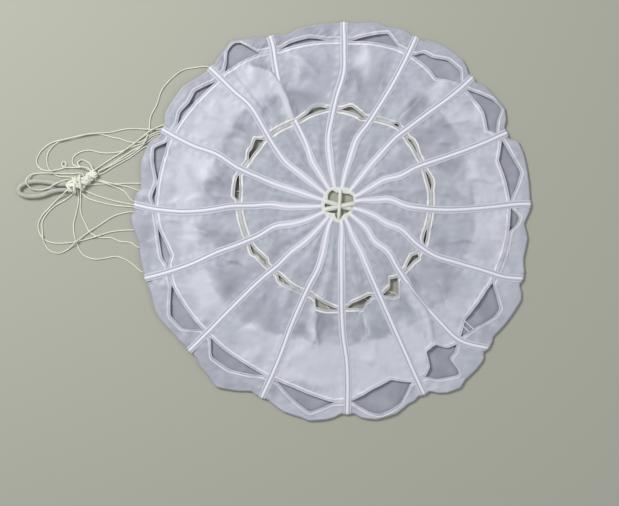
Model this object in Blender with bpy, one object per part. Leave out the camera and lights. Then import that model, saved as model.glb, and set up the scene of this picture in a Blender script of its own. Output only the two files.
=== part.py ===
"""Small ring-slot parachute, unpacked and laid out flat on its skirt.

Sixteen radial tapes hold three rings of thin cloth: the crown, the middle ring and the
skirt, with a slot between each two. The skirt turns under at the rim and runs back
inwards as a lower layer. From its hem one suspension line per tape runs under the cloth
to the left, out past the rim and into a knot, where a thick riser loop begins.

Lengths here are in millimetres and bearings in degrees, anticlockwise from +X round the
vent. The origin is on the floor under the middle of the canopy, +Z is up, and build_mesh
turns millimetres into Blender's metres.
"""
import bmesh
import bpy
import numpy as np

MM = 0.001

# --- driving sizes ---------------------------------------------------------------------
VENT_X, VENT_Y = 7.0, 15.1         # the vent lies off the middle of the rim
CLOTH = 1.0                        # thickness of a cloth layer
TAPE = 0.8                         # thickness of a tape
GAP = 0.35                         # clearance between neighbouring pieces
HEM_RADIUS = 120.0                 # the lower layer's inner hem
LINE_START = 118.0                 # the lines begin just inside it
SLOT_SEAM = 0.8                    # clearance where two rings' hems meet
FOLD_INSET = 1.6                   # the rim's fold starts this far inside the rim
CROWN_HEIGHT = 2.4                 # middle of the crown's cloth beside the vent
OUTER_HEIGHT = 3.2                 # middle of the upper cloth from the ring outwards
LINE_RAISE = 1.6                   # the lower layer's lift over the lines
TAPE_RAISE = TAPE + 0.3            # and over the tape sewn under it

LINE = 1.2                         # diameter of a suspension line
LOOP = 4.4                         # diameter of the riser loop
LINE_GAP = 0.45                    # clearance where one line lies over another
CLIMB = 0.42                       # steepest rise of a line beside a crossing
STEP = 1.5                         # spacing along a line while its heights are worked out
STRAY = 0.28                       # how far a line's tube may cut its smooth curve

# --- how the heights and the mesh are spread -------------------------------------------
CROWN_RISE = (25, 105)             # radii over which the cloth rises from crown to ring
LINE_RISE = (76, 118)              # radii over which it rises to pass over the lines
CROWN_BILLOW = (22, 60)            # radii over which the crown's billow begins
SKIRT_BILLOW = (140, 170)          # radii over which the ring's billow turns to the skirt's
TAPE_BUMP = (1.3, 3.6)             # bearings beside a tape where the lower layer comes down
TAPE_LIFT = 0.48                   # clearance of the tapes over the upper cloth
TAPE_SIDE = 4.2                    # the upper cloth is level this far beside a tape
GORE_COLUMNS = (-0.16, -0.06, 0.06, 0.16, 0.5)
COLUMN_GAP = 0.085                 # columns nearer than this in gore coordinate are one
CROWN_ROWS, RING_ROWS = 5, 4
TAPE_SECTIONS = (26, 34, 46, 60, 78, 97, 120, 143, 166)
RADII = np.arange(0, 221.0)        # radii at which the tapes' bearings are kept
STRAY_WEIGHTS = (1, 1, 1.3)        # a line's height is kept more closely than its place
LONG_RUN, RUN_END = 32.0, 10.0     # a line's longer runs are straight but for their ends
OWN_LENGTH = 6.0                   # a line may cross itself once it is this far on
EXIT_REACH = 2.0                   # a line lies flat until it is this far past the rim
KNOT_SECTIONS, KNOT_SIDES = 9, 12
KNOT_SEAT = 0.8                    # height of the knot's middle over its half height
KNOT_SPARE = 0.2                   # cords stop this much more than GAP short of the knot
KNOT_TIPS = ((0.55, 0.82), (0.8, 0.45))    # reach past each end and size, in half widths
COLLECTION = "ring_slot_parachute"

# --- tapes: bearing at each radius, then at the rim ------------------------------------
TAPE_RADII = (20, 32, 46, 60, 78, 97, 120, 143, 166)
TAPES = (
    (11.0, 7.3, 6.0, -0.5, -2.6, -2.9, -2.0, -0.8, 0.2, 0.2),
    (26.5, 28.0, 28.8, 25.4, 25.6, 24.4, 23.4, 23.1, 23.2, 23.2),
    (51.0, 51.1, 51.2, 50.5, 49.8, 47.5, 45.5, 44.0, 43.6, 43.6),
    (79.0, 77.8, 76.0, 75.0, 70.2, 67.7, 66.0, 65.3, 65.2, 65.2),
    (103.2, 102.0, 100.6, 99.2, 95.2, 91.8, 88.2, 88.1, 88.4, 88.4),
    (122.0, 121.8, 121.5, 118.8, 118.2, 118.0, 116.8, 114.3, 112.3, 112.3),
    (141.5, 141.6, 141.6, 141.6, 138.4, 134.8, 132.1, 133.0, 133.3, 133.4),
    (163.5, 163.0, 162.6, 162.5, 161.2, 160.1, 157.7, 158.1, 157.4, 157.0),
    (185.5, 184.0, 182.8, 180.4, 180.9, 181.0, 182.6, 182.8, 181.6, 180.0),
    (207.0, 205.8, 202.6, 199.0, 201.2, 201.7, 201.5, 202.0, 201.6, 200.8),
    (230.0, 229.2, 227.6, 225.2, 225.0, 224.0, 223.9, 224.0, 224.2, 224.3),
    (244.0, 248.4, 251.6, 252.0, 249.9, 249.0, 248.5, 248.7, 248.6, 248.2),
    (277.5, 274.5, 272.8, 272.4, 271.9, 271.5, 271.8, 272.8, 272.8, 272.3),
    (295.0, 294.0, 295.2, 294.6, 294.1, 293.9, 293.9, 294.0, 294.1, 294.2),
    (320.0, 319.7, 314.4, 316.4, 312.9, 311.0, 310.6, 310.8, 311.6, 316.0),
    (346.0, 343.5, 338.8, 338.6, 333.5, 331.9, 333.8, 335.4, 336.4, 338.0),
)
TAPE_WIDTHS = ((15, 3.6), (20, 4.8), (32, 6.4), (48, 7.0))    # radius, width

# --- outlines: (bearing, radius) at each turn of an edge -------------------------------
RIM = (
    (0, 175.5), (15.7, 176), (19.5, 174.5), (22.9, 167), (27.5, 173), (30, 176),
    (39, 173), (43.2, 168.5), (49.5, 175), (56, 175), (61, 173), (63, 169.5),
    (65.2, 169), (69, 171.5), (75, 169.5), (78, 171), (84, 167.5), (88.4, 167),
    (103, 166), (106.5, 163), (112.3, 166.5), (116, 171), (120, 175), (123.3, 180),
    (127.5, 175.5), (133, 172), (137.5, 173.5), (143, 179.5), (152, 180), (157, 175.5),
    (160, 180), (162, 183), (167.5, 185.5), (175.7, 182), (176.5, 185.5), (180, 187),
    (182.5, 191), (184.5, 191), (191, 186), (195, 188.5), (205, 190.5), (210, 194.5),
    (212.5, 195), (218, 192.5), (224.3, 191.5), (227.5, 192.5), (229.5, 195.5),
    (233, 198), (236, 202), (241, 195.5), (245, 189), (248.2, 190.5), (251, 192.5),
    (255, 197), (260, 198.5), (262, 200.5), (267, 197.5), (272.3, 192), (277, 198),
    (280, 200.5), (285.5, 199), (289, 194), (292, 193), (294.2, 190.5), (297, 194.5),
    (300, 199.5), (303.5, 202), (305.7, 198.5), (310, 197), (314.5, 194), (316, 189.5),
    (319.5, 186.5), (324, 188), (332.5, 189), (336.8, 182), (340, 180.5), (344, 176.5),
    (350, 176), (354.2, 171), (356.5, 173.5),
)
VENT_OUTER = (
    (0, 15.5), (30, 18), (60, 17.5), (90, 16), (110, 17.5), (130, 17), (160, 16),
    (200, 16.5), (245, 15.5), (270, 17), (300, 14.5), (330, 14.5),
)
VENT_INNER = (
    (0, 12.5), (30, 15), (45, 13.5), (60, 11.5), (90, 10.5), (102, 11), (115, 14.5),
    (130, 14), (155, 11), (180, 13), (210, 12.5), (225, 10.5), (245, 8.5), (262, 13),
    (270, 14), (280, 11.5), (300, 9.5), (315, 11), (335, 11),
)

# --- openings in the two slots: far edge from end to end, then the near edge between ---
OUTER_SLOT = (
    (((1.5, 157), (5, 162.5), (10, 169), (16, 163.5), (21.5, 160.5)),
     ((10, 154), (15.5, 152))),
    (((24.7, 158), (28, 164.5), (30.5, 173), (34, 170.5), (42, 157.5)),
     ((26.5, 152.5), (33, 158))),
    (((45, 157.5), (47.7, 165.5), (53, 165.5), (57.5, 159.5), (61, 159), (63.5, 152.5)),
     ((52.5, 146.5), (56, 149.5))),
    (((69.5, 154), (74, 163), (77.5, 159.5), (85.7, 150.5)),
     ((74, 154), (80, 152.5))),
    (((94.5, 151), (100, 155), (107, 154.5), (110.8, 152)),
     ((100, 152), (107, 152))),
    (((118, 157), (122, 176.5), (125.5, 175.5), (128.5, 165.5), (130.6, 160.5)),
     ((120, 159.5), (128, 159.5))),
    (((135.4, 159.5), (141.8, 167.5), (145.5, 165.5), (150, 168), (153.5, 165)),
     ((142, 161), (149, 163.5))),
    (((160.1, 167), (163, 177), (167, 174), (172.5, 167.5)),
     ((163, 166.5), (168, 167))),
    (((174, 168), (177, 171), (178.4, 171), (179.6, 169)),
     ((176.5, 168),)),
    (((187.5, 167), (193, 168), (197, 169), (199.6, 166.5)),
     ((192.5, 163), (197, 161))),
    (((205.8, 170), (213.3, 184.5), (218.5, 182.5), (222.4, 169.5)),
     ((213, 174), (219, 171))),
    (((226.3, 169.5), (230, 181.5), (236.5, 181), (246.4, 171)),
     ((231, 170), (240, 169.5))),
    (((250.8, 171.5), (258.2, 185.5), (262, 192), (268.3, 181.5)),
     ((256, 173), (263, 177.5))),
    (((273.7, 180.5), (278.5, 192.5), (281, 195.5), (284, 194), (287.3, 190.5),
      (292, 176)), ((280.5, 172), (286.5, 167.5))),
    (((296.8, 176.5), (299, 183), (305.3, 191), (307.5, 174), (310, 167.5)),
     ((299.5, 170), (300.7, 156.5), (304.6, 156), (307, 165))),
    (((312.6, 165), (317.8, 168), (324, 175.5), (327, 175.5), (332.8, 158)),
     ((317.8, 156.5), (330, 156.5))),
    (((351.2, 158), (353.3, 163.5), (356, 166), (358.7, 158)),
     ((353, 157.5), (357, 157.5))),
)
INNER_SLOT = (
    (((8.8, 85), (12.5, 87), (15.5, 87.5), (21.6, 85)),
     ((15, 84.5),)),
    (((33, 85.5), (37.5, 88), (41.5, 89), (44.3, 87.5)),
     ((38, 86.5), (42, 86.5))),
    (((52.3, 90), (54.2, 91.5), (56, 89)),
     ((54, 89),)),
    (((73.5, 83), (77.5, 86), (82.3, 90), (84.5, 90), (88.5, 87)),
     ((75.5, 82), (80, 85.5), (85, 86.5))),
    (((96.7, 88.5), (101.5, 91.5), (105.7, 91.5), (109, 88), (116.5, 85.5)),
     ((107, 87.5), (112, 86))),
    (((139.6, 91), (142, 97), (147, 94.5), (150.3, 95), (153.8, 92)),
     ((145, 90.5), (150, 91.5))),
    (((163.3, 95.5), (165, 96.5), (175.8, 96), (177.5, 92)),
     ((167.5, 93.5), (172, 92))),
    (((203.3, 89), (207.5, 90.5), (210.2, 90.5), (212, 88), (219.5, 86.5)),
     ((207.5, 88), (212.5, 85.5), (217.5, 84))),
    (((229, 85), (231.5, 88), (236, 88), (238.8, 86.5)),
     ((233, 85), (237, 86))),
    (((252.7, 86.5), (256.1, 89), (257, 96), (263, 97), (269.3, 96)),
     ((256.8, 90.5), (260, 93), (265, 94.5))),
    (((274.5, 95), (280, 96), (281.6, 97.5), (283.2, 97.5), (284.7, 93.5), (289.8, 89)),
     ((277.5, 91.5), (282.5, 89.5), (288, 88))),
    (((295.8, 92), (300.5, 98), (303.5, 98.5), (305.5, 93.5), (308.6, 86)),
     ((298.5, 90.5), (301.5, 88), (303.5, 84))),
    (((316.4, 85), (320, 84), (326.3, 87.5), (327.7, 85.5)),
     ((320, 83), (325, 82))),
    (((335.6, 86.5), (341, 84.5), (345.2, 83.5)),
     ((336.5, 84), (342, 83))),
)

# --- the cloth's billow between each tape and the next: ring and crown, skirt ----------
BILLOW = (
    (1.2, 0.6), (1.6, 0.9), (1.0, 0.5), (1.3, 0.4), (0.8, 0.4), (1.5, 1.0),
    (1.1, 0.6), (1.7, 0.7), (0.9, 0.5), (1.4, 0.9), (1.2, 0.8), (1.6, 1.0),
    (1.3, 1.1), (1.7, 0.9), (1.1, 0.7), (1.5, 0.6),
)

# --- where the lower layer lifts over lines: bearings at which it rises and falls ------
LIFTED = (127.8, 129.6, 229.0, 234.0)

# --- lines, in the order in which they lie on each other. Each row: the tape that it
# --- hangs from, its bends under the cloth as (bearing, radius), its bearing where it
# --- leaves the rim, and its way from there to the knot as (x, y) ----------------------
LINES = (
    (8, ((159.5, 150),), 163.3,
     ((-176, 65.2), (-184, 59.3), (-194.6, 53.2), (-201, 49.6),
      (-211, 43.7), (-217, 42))),
    (2, ((133, 88),), 159.5,
     ((-164.3, 76.2), (-167.7, 73.3), (-172.6, 70.4), (-180.5, 66), (-187.5, 61.9),
      (-194.6, 57.2), (-202, 52.5), (-212, 46), (-217, 43))),
    (3, ((133, 98),), 158.4,
     ((-165.7, 77.8), (-169.1, 74.7), (-173.4, 71.7), (-177.2, 70.1), (-181, 69),
      (-185.8, 67.2), (-190, 65.3), (-196, 63.4), (-204, 62.6), (-212, 63), (-222, 65),
      (-232, 63), (-237.5, 58), (-237.5, 52.5), (-230, 49.5), (-222, 46.5), (-217, 44))),
    (4, ((133, 103),), 157.7,
     ((-166.9, 78.9), (-170.2, 75.7), (-173.9, 73.2), (-177.5, 72.3), (-181, 72.2),
      (-186.8, 73), (-194.6, 75.7), (-201, 77), (-213, 80), (-220, 80.5), (-237, 76),
      (-248, 74), (-257, 68), (-261, 61), (-261, 52), (-257, 44.5), (-251, 41.5),
      (-240, 40.5), (-231, 39.5), (-225, 37))),
    (1, ((60, 28), (110, 26), (172.3, 92), (172.3, 118)), 173.9,
     ((-195.5, 34.5), (-213, 34), (-224, 33.5), (-230, 33))),
    (16, ((285, 30), (240, 32), (175.3, 118)), 175.9,
     ((-185, 31), (-201, 34.5), (-212, 37.5), (-219, 41))),
    (9, ((180.2, 150),), 179.0,
     ((-190, 27), (-201, 32.5), (-211, 36), (-220, 38.5))),
    (15, ((301, 94), (245, 50), (190, 116), (182, 150)), 179.97,
     ((-194.5, 17.5), (-211, 22), (-224, 27), (-231, 31))),
    (14, ((286.3, 91), (242, 64), (193.2, 116), (183.6, 150)), 180.65,
     ((-198.5, 14.5), (-213, 17.5), (-226, 22.5), (-233, 30))),
    (10, ((195, 150),), 192.0,
     ((-184, -20), (-194.5, -18.5), (-202, -15.5), (-214.5, -14.5), (-222, -10),
      (-226, -2.5), (-230.5, 9), (-230.5, 19.5), (-230, 30))),
    (11, ((210, 150),), 198.7,
     ((-181.5, -40.5), (-190, -35), (-198, -32.5), (-207.5, -34), (-217.5, -35),
      (-228, -31), (-233.5, -22), (-236, -14), (-237, -4), (-234.5, 7.5),
      (-232.5, 17.5), (-233, 30))),
    (12, ((234, 87), (197.8, 116), (189.5, 150)), 187.0,
     ((-203, -10), (-216, -14), (-232.5, -18.5), (-243, -20), (-255.5, -20),
      (-263, -17.5), (-268, -11), (-269.5, -3.5), (-266.5, 4), (-259, 12.5),
      (-250.5, 21), (-244.5, 26), (-238, 31))),
    (13, ((262, 92), (240, 78), (195.5, 116), (185.3, 150)), 182.0,
     ((-196.5, 6), (-216, -5.5), (-227, -13), (-235.5, -20), (-243, -26.5),
      (-251, -29.5), (-259.5, -26.5), (-264, -19), (-265.5, -10), (-265.5, 0),
      (-261, 7.5), (-253.5, 14.5), (-244, 20), (-238, 25), (-235, 31))),
    (7, ((133.3, 150),), 133.4,
     ((-126.5, 141), (-136, 139), (-147, 131), (-156, 120), (-160.5, 107), (-166, 96),
      (-167.5, 84), (-170, 75), (-172.8, 70.3), (-177, 66.7), (-184.5, 61.3),
      (-194.8, 55.3), (-201.5, 51.6), (-209, 48), (-217, 44.5))),
    (5, ((133, 108),), 156.95,
     ((-163.5, 84.2), (-169, 84.3), (-176, 84.9), (-190, 84.5), (-201, 82), (-222, 80),
      (-245, 75), (-259, 71), (-268.5, 62), (-271, 54), (-267, 48), (-260, 46),
      (-252, 47.2), (-248.3, 48.1), (-245.2, 49.3), (-243.7, 51.6), (-244.5, 54.1),
      (-246.5, 54.5), (-247.7, 52.8), (-247, 50.7), (-244.8, 49.4), (-241, 49.2), (-227, 48.8),
      (-218, 45))),
    (6, ((133, 113),), 155.7,
     ((-160.5, 86), (-166.6, 82.4), (-173.5, 77.4), (-180, 72.3), (-184.5, 68.9),
      (-190, 65), (-203.8, 56.3), (-213.9, 49.5), (-218, 46.5))),
)
SLACK_LOOPS = (
    ((-218, 45), (-220.5, 51), (-224, 54.3), (-230.5, 56), (-233, 53.5), (-231, 50.5),
     (-223, 48.5), (-219, 44)),
    ((-226, 39), (-229, 43.3), (-238, 43.7), (-252, 43.8), (-261, 44.2), (-269, 44),
     (-276.5, 42), (-279.5, 37), (-276, 30.5), (-269.5, 28.5), (-261, 30),
     (-253.5, 33.5), (-245, 37.5), (-237, 38.5), (-230, 36)),
)
RISER = ((-238, 33.8), (-244, 33.8), (-250, 33.8), (-256, 35), (-265, 36.3), (-274, 36.3),
         (-282, 34), (-286.6, 30), (-286.6, 26.5), (-282.5, 23.6), (-275, 22.7),
         (-264, 24.3), (-256, 27.3), (-250, 28.4), (-244, 28.6), (-238, 28.6))
KNOT = ((-215.5, 45, 4.4), (-224, 38.5, 4.6), (-233, 33.5, 7.0), (-243, 31.1, 4.8))
KNOT_SQUASH = 0.62                 # half height of the knot over its half width

# --- vent tapes: from (x, y) to (x, y) beside the vent's centre, width, and the layer in
# --- which they lie at their start, middle and end ----------------------------------
VENT_TAPES = (
    ((-14.6, 3.8), (13.4, -4.6), 4.5, (0, 0, 0)),
    ((-13.8, -4.8), (14.6, 1.2), 4.5, (0, 1, 1)),
    ((1.4, 15.0), (-0.4, -14.2), 3.0, (0, 2, 0)),
)
VENT_TAPE_SHARES = (0, 0.2, 0.8, 1)     # where along it each such layer begins or ends
BINDING = 1.6                           # thickness of the binding

COLORS = {
    "cloth": (0.45, 0.46, 0.52), "tape": (0.80, 0.80, 0.87),
    "line": (0.68, 0.72, 0.58), "binding": (0.74, 0.76, 0.68),
}


# --- shapes worked out from the tables -------------------------------------------------
def ease(value, low, high):
    """0 below low, 1 above high, and a smooth step between."""
    t = np.clip((np.asarray(value, float) - low) / (high - low), 0, 1)
    return t * t * (3 - 2 * t)


def smooth(knots, values, at):
    """Cubic through the values, whose slope at a knot follows its two neighbours."""
    knots, values = np.asarray(knots, float), np.asarray(values, float)
    slopes = np.gradient(values, knots, axis=0)
    i = np.clip(np.searchsorted(knots, at, side="right") - 1, 0, len(knots) - 2)
    width = knots[i + 1] - knots[i]
    t = (at - knots[i]) / width
    if values.ndim == 2:
        width, t = width[:, None], t[:, None]
    rise = t * t * (3 - 2 * t)
    return (values[i] * (1 - rise) + values[i + 1] * rise
            + slopes[i] * width * t * (1 - t) ** 2
            - slopes[i + 1] * width * t * t * (1 - t))


def outline(table, bearing):
    """Radius of a closed outline at a bearing, straight between the table's turns."""
    turns = sorted(table)
    return np.interp(np.asarray(bearing) % 360, [b for b, r in turns],
                     [r for b, r in turns], period=360)


def slot_edges(slot, bearing):
    """Radii of a slot's near and far edges. They meet wherever there is no opening."""
    bearing = np.asarray(bearing, float) % 360
    seam = outline([far[k] for far, near in slot for k in (0, -1)], bearing)
    inner, outer = seam - SLOT_SEAM / 2, seam + SLOT_SEAM / 2
    for far, near in slot:
        inside = (bearing > far[0][0]) & (bearing < far[-1][0])
        near = (far[0],) + near + (far[-1],)
        far_edge = np.interp(bearing, *zip(*far))
        near_edge = np.interp(bearing, *zip(*near))
        outer = np.where(inside, np.maximum(outer, far_edge), outer)
        inner = np.where(inside, np.minimum(inner, near_edge), inner)
    return inner, outer


def rim_radius(bearing):
    """Radius of the rim, which runs straight across under each tape."""
    rims = np.array([row[-1] for row in TAPES])
    bearing = np.asarray(bearing, float) % 360
    away = (bearing[..., None] - rims + 180) % 360 - 180
    nearest = np.take_along_axis(away, np.abs(away).argmin(-1)[..., None], -1)[..., 0]
    return outline(RIM, bearing - nearest * (1 - ease(np.abs(nearest), *TAPE_BUMP)))


def tape_bearings():
    """Each tape's bearing at each of RADII, then the first tape again a turn later."""
    rows = []
    for row in TAPES:
        rim = max(float(rim_radius(row[-1])), TAPE_RADII[-1] + 4)
        rows.append(smooth(TAPE_RADII + (rim,), row, np.clip(RADII, TAPE_RADII[0], rim)))
    return np.array(rows + [rows[0] + 360])


TAPE_PATHS = tape_bearings()


def gore_bearings(u, radius):
    """Bearings of the tapes at the two sides of gore coordinate u, and u's share."""
    u = np.asarray(u, float) % 16
    gore = np.floor(u).astype(int)
    low = np.clip(np.floor(radius).astype(int), 0, len(RADII) - 2)
    part = np.clip(radius - low, 0, 1)
    here = TAPE_PATHS[gore, low] * (1 - part) + TAPE_PATHS[gore, low + 1] * part
    after = TAPE_PATHS[gore + 1, low] * (1 - part) + TAPE_PATHS[gore + 1, low + 1] * part
    return here, after, u - gore


def gore_bearing(u, radius):
    """Bearing of gore coordinate u, which is whole on a tape and runs evenly between."""
    here, after, share = gore_bearings(u, radius)
    return here + (after - here) * share


def gore_coordinate(bearing, radius):
    """The u whose bearing at this radius is the given one."""
    tapes = gore_bearing(np.arange(16), np.full(16, float(radius)))
    turn = bearing + 360 if bearing < tapes[0] else bearing
    return float(np.interp(turn, np.append(tapes, tapes[0] + 360), np.arange(17))) % 16


def polar(bearing, radius):
    """x and y of a bearing and radius round the vent."""
    angle = np.radians(bearing)
    return np.stack([VENT_X + radius * np.cos(angle), VENT_Y + radius * np.sin(angle)], -1)


def lift_over_lines(bearing):
    """How far the cloth is lifted over the lines that run out under its left side."""
    b = np.asarray(bearing, float) % 360
    return LINE_RAISE * ease(b, *LIFTED[:2]) * (1 - ease(b, *LIFTED[2:]))


def lower_height(bearing):
    """Middle of the lower layer: flat on the floor, up over the tapes and the lines."""
    rims = np.array([row[-1] for row in TAPES])
    away = np.abs((np.asarray(bearing, float)[..., None] - rims + 180) % 360 - 180)
    over_tape = 1 - ease(away.min(axis=-1), *TAPE_BUMP)
    return CLOTH / 2 + lift_over_lines(bearing) + TAPE_RAISE * over_tape


def upper_height(u, radius):
    """Middle of the upper cloth: level beside the tapes, billowed between them."""
    here, after, share = gore_bearings(u, radius)
    rise = (OUTER_HEIGHT - CROWN_HEIGHT) * ease(radius, *CROWN_RISE)
    lifted = lift_over_lines(here + (after - here) * share) * ease(radius, *LINE_RISE)
    gore = np.floor(np.asarray(u, float) % 16).astype(int)
    ring, skirt = np.array(BILLOW)[gore].T
    amount = ring.T + (skirt - ring).T * ease(radius, *SKIRT_BILLOW)
    flat = TAPE_SIDE / (np.radians(after - here) * radius)
    across = np.clip((share - flat) / np.maximum(1 - 2 * flat, 0.01), 0, 1)
    shape = np.sin(np.pi * across) ** 2 * (1 + 0.3 * np.sin(2 * np.pi * across + gore))
    return CROWN_HEIGHT + rise + lifted + amount * ease(radius, *CROWN_BILLOW) * shape


# --- mesh building ---------------------------------------------------------------------
def material(kind):
    """Plain finish of one kind of cloth, tape or cord."""
    made = bpy.data.materials.get(kind) or bpy.data.materials.new(kind)
    made.use_nodes = True
    shader = made.node_tree.nodes["Principled BSDF"]
    shader.inputs["Base Color"].default_value = (*COLORS[kind], 1)
    shader.inputs["Roughness"].default_value = 0.75
    shader.inputs["Metallic"].default_value = 0.0
    return made


def place(name, data, kind):
    """Puts finished data into the parachute's collection as one named object."""
    data.materials.append(material(kind))
    bpy.data.collections[COLLECTION].objects.link(bpy.data.objects.new(name, data))


def loft(name, sections, kind, closed=False):
    """Solid through closed sections of corners. Its ends meet if closed, or are capped."""
    mesh = bmesh.new()
    rings = [[mesh.verts.new(corner * MM) for corner in section] for section in sections]
    pairs = zip(rings, rings[1:] + rings[:1]) if closed else zip(rings, rings[1:])
    for here, after in pairs:
        for k, corner in enumerate(here):
            mesh.faces.new((here[k - 1], corner, after[k], after[k - 1]))
    if not closed:
        mesh.faces.new(rings[0])
        mesh.faces.new(rings[-1][::-1])
    bmesh.ops.recalc_face_normals(mesh, faces=mesh.faces)
    data = bpy.data.meshes.new(name)
    mesh.to_mesh(data)
    mesh.free()
    place(name, data, kind)


def tube(name, points, diameter, kind):
    """Round cord along its route, with flat ends."""
    data = bpy.data.curves.new(name, "CURVE")
    data.dimensions = "3D"
    data.twist_mode = "Z_UP"
    data.bevel_depth = diameter / 2 * MM
    data.bevel_resolution = 2
    data.use_fill_caps = True
    spline = data.splines.new("POLY")
    spline.points.add(len(points) - 1)
    for knot, point in zip(spline.points, points):
        knot.co = (*(point * MM), 1)
    place(name, data, kind)


# --- cloth -----------------------------------------------------------------------------
def columns(slots):
    """Gore coordinates of a cloth's columns: at the tapes, and at its slots' corners."""
    kept = [(gore + side) % 16 for gore in range(16) for side in GORE_COLUMNS]
    for far, near in (opening for slot in slots for opening in slot):
        for bearing, radius in far + near:
            u = gore_coordinate(bearing, radius)
            if all(abs((u - other + 8) % 16 - 8) > COLUMN_GAP for other in kept):
                kept.append(u)
    return np.array(sorted(kept))


def edge_radii(u, edge):
    """Radius of an edge on each column, closed in on because it is known by bearing."""
    radius = np.full(len(u), HEM_RADIUS)
    for _ in range(4):
        radius = edge(gore_bearing(u, radius))
    return radius


def cloth_sections(radii, heights, bearings):
    """Sections of cloth, half its thickness to each side of a (column, row) surface."""
    path = np.stack([radii, heights], -1)
    along = np.gradient(path, axis=1)
    along /= np.linalg.norm(along, axis=2, keepdims=True)
    side = np.stack([-along[..., 1], along[..., 0]], -1) * CLOTH / 2
    both = np.concatenate([path + side, (path - side)[:, ::-1]], axis=1)
    turns = np.concatenate([bearings, bearings[:, ::-1]], axis=1)
    return np.concatenate([polar(turns, both[..., 0]), both[..., 1:]], axis=2)


def flat_cloth(name, u, inner, outer, rows):
    """A ring of cloth between two edges, in one layer."""
    shares = np.linspace(0, 1, rows)
    radii = inner[:, None] + (outer - inner)[:, None] * shares
    column = u[:, None] + 0 * shares
    sections = cloth_sections(radii, upper_height(column, radii),
                              gore_bearing(column, radii))
    loft(name, sections, "cloth", closed=True)


def crown_cloth():
    """The crown, from the vent binding to the inner slot."""
    u = columns([INNER_SLOT])
    inner = edge_radii(u, lambda b: outline(VENT_OUTER, b) + GAP)
    outer = edge_radii(u, lambda b: slot_edges(INNER_SLOT, b)[0])
    flat_cloth("crown_cloth", u, inner, outer, CROWN_ROWS)


def ring_cloth():
    """The middle ring, between the two slots."""
    u = columns([INNER_SLOT, OUTER_SLOT])
    inner = edge_radii(u, lambda b: slot_edges(INNER_SLOT, b)[1])
    outer = edge_radii(u, lambda b: slot_edges(OUTER_SLOT, b)[0])
    flat_cloth("ring_cloth", u, inner, outer, RING_ROWS)


def skirt_cloth():
    """The skirt, out from the outer slot to its fold at the rim and back to its hem."""
    u = columns([OUTER_SLOT])
    rim = edge_radii(u, rim_radius)
    start = np.minimum(edge_radii(u, lambda b: slot_edges(OUTER_SLOT, b)[1]),
                       rim - 2 * FOLD_INSET)
    bend = rim - FOLD_INSET
    radii = np.stack([start, (start + bend) / 2, bend, rim - CLOTH / 2, bend,
                      np.full(len(u), HEM_RADIUS)], 1)
    column = u[:, None] + 0 * radii
    turned = np.stack([*radii[:, :3].T, rim, rim, rim], 1)      # the lower layer runs straight
    bearings = gore_bearing(column, turned)
    upper = upper_height(column, radii)
    lower = lower_height(bearings)
    middle = (upper[:, 2:3] + lower[:, 2:3]) / 2
    heights = np.concatenate([upper[:, :3], middle, lower[:, 4:]], axis=1)
    loft("skirt_cloth", cloth_sections(radii, heights, bearings), "cloth", closed=True)


# --- tapes -----------------------------------------------------------------------------
def strip(name, centre, outward, widths, kind):
    """A flat tape along its middle line. Its width lies level, across `outward`."""
    along = np.gradient(centre, axis=0)
    along /= np.linalg.norm(along, axis=1, keepdims=True)
    across = np.stack([-outward[:, 1], outward[:, 0], 0 * outward[:, 0]], 1)
    up = np.cross(along, across) * TAPE / 2
    across = across * widths[:, None] / 2
    corners = [centre - across - up, centre + across - up,
               centre + across + up, centre - across + up]
    loft(name, np.stack(corners, 1), kind)


def radial_tape(number):
    """One radial tape: from the vent over the cloth, round the rim, and under to the hem."""
    u = float(number - 1)
    turn = TAPES[number - 1][-1]
    rim = float(rim_radius(turn))
    start = float(outline(VENT_OUTER, TAPES[number - 1][0])) + 2 * GAP
    over = np.array([start] + [r for r in TAPE_SECTIONS if r < rim - 6] + [rim - 1.2])
    raised = (CLOTH + TAPE) / 2 + TAPE_LIFT
    top = upper_height(np.full(len(over), u), over) + raised
    low = float(lower_height(np.array([turn]))[0]) - (CLOTH + TAPE) / 2 - 0.3
    # round the fold: radius past the rim, and height
    wrap = ((0.3, top[-1] - 0.5), (0.85, (top[-1] + low) / 2), (0.3, low + 0.6), (-1.2, low))
    radii = np.concatenate([over, [rim + r for r, z in wrap], [HEM_RADIUS]])
    heights = np.concatenate([top, [z for r, z in wrap], [low]])
    bearings = gore_bearing(np.full(len(radii), u), np.where(
        np.arange(len(radii)) < len(over), radii, rim))
    centre = np.concatenate([polar(bearings, radii), heights[:, None]], axis=1)
    outward = np.gradient(centre[:, :2], axis=0)
    outward[len(over) - 1:] = polar(turn, 1.0) - polar(turn, 0.0)
    outward /= np.linalg.norm(outward, axis=1, keepdims=True)
    widths = np.interp(radii, *zip(*TAPE_WIDTHS))
    strip(f"radial_tape_{number:02d}", centre, outward, widths, "tape")


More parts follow.
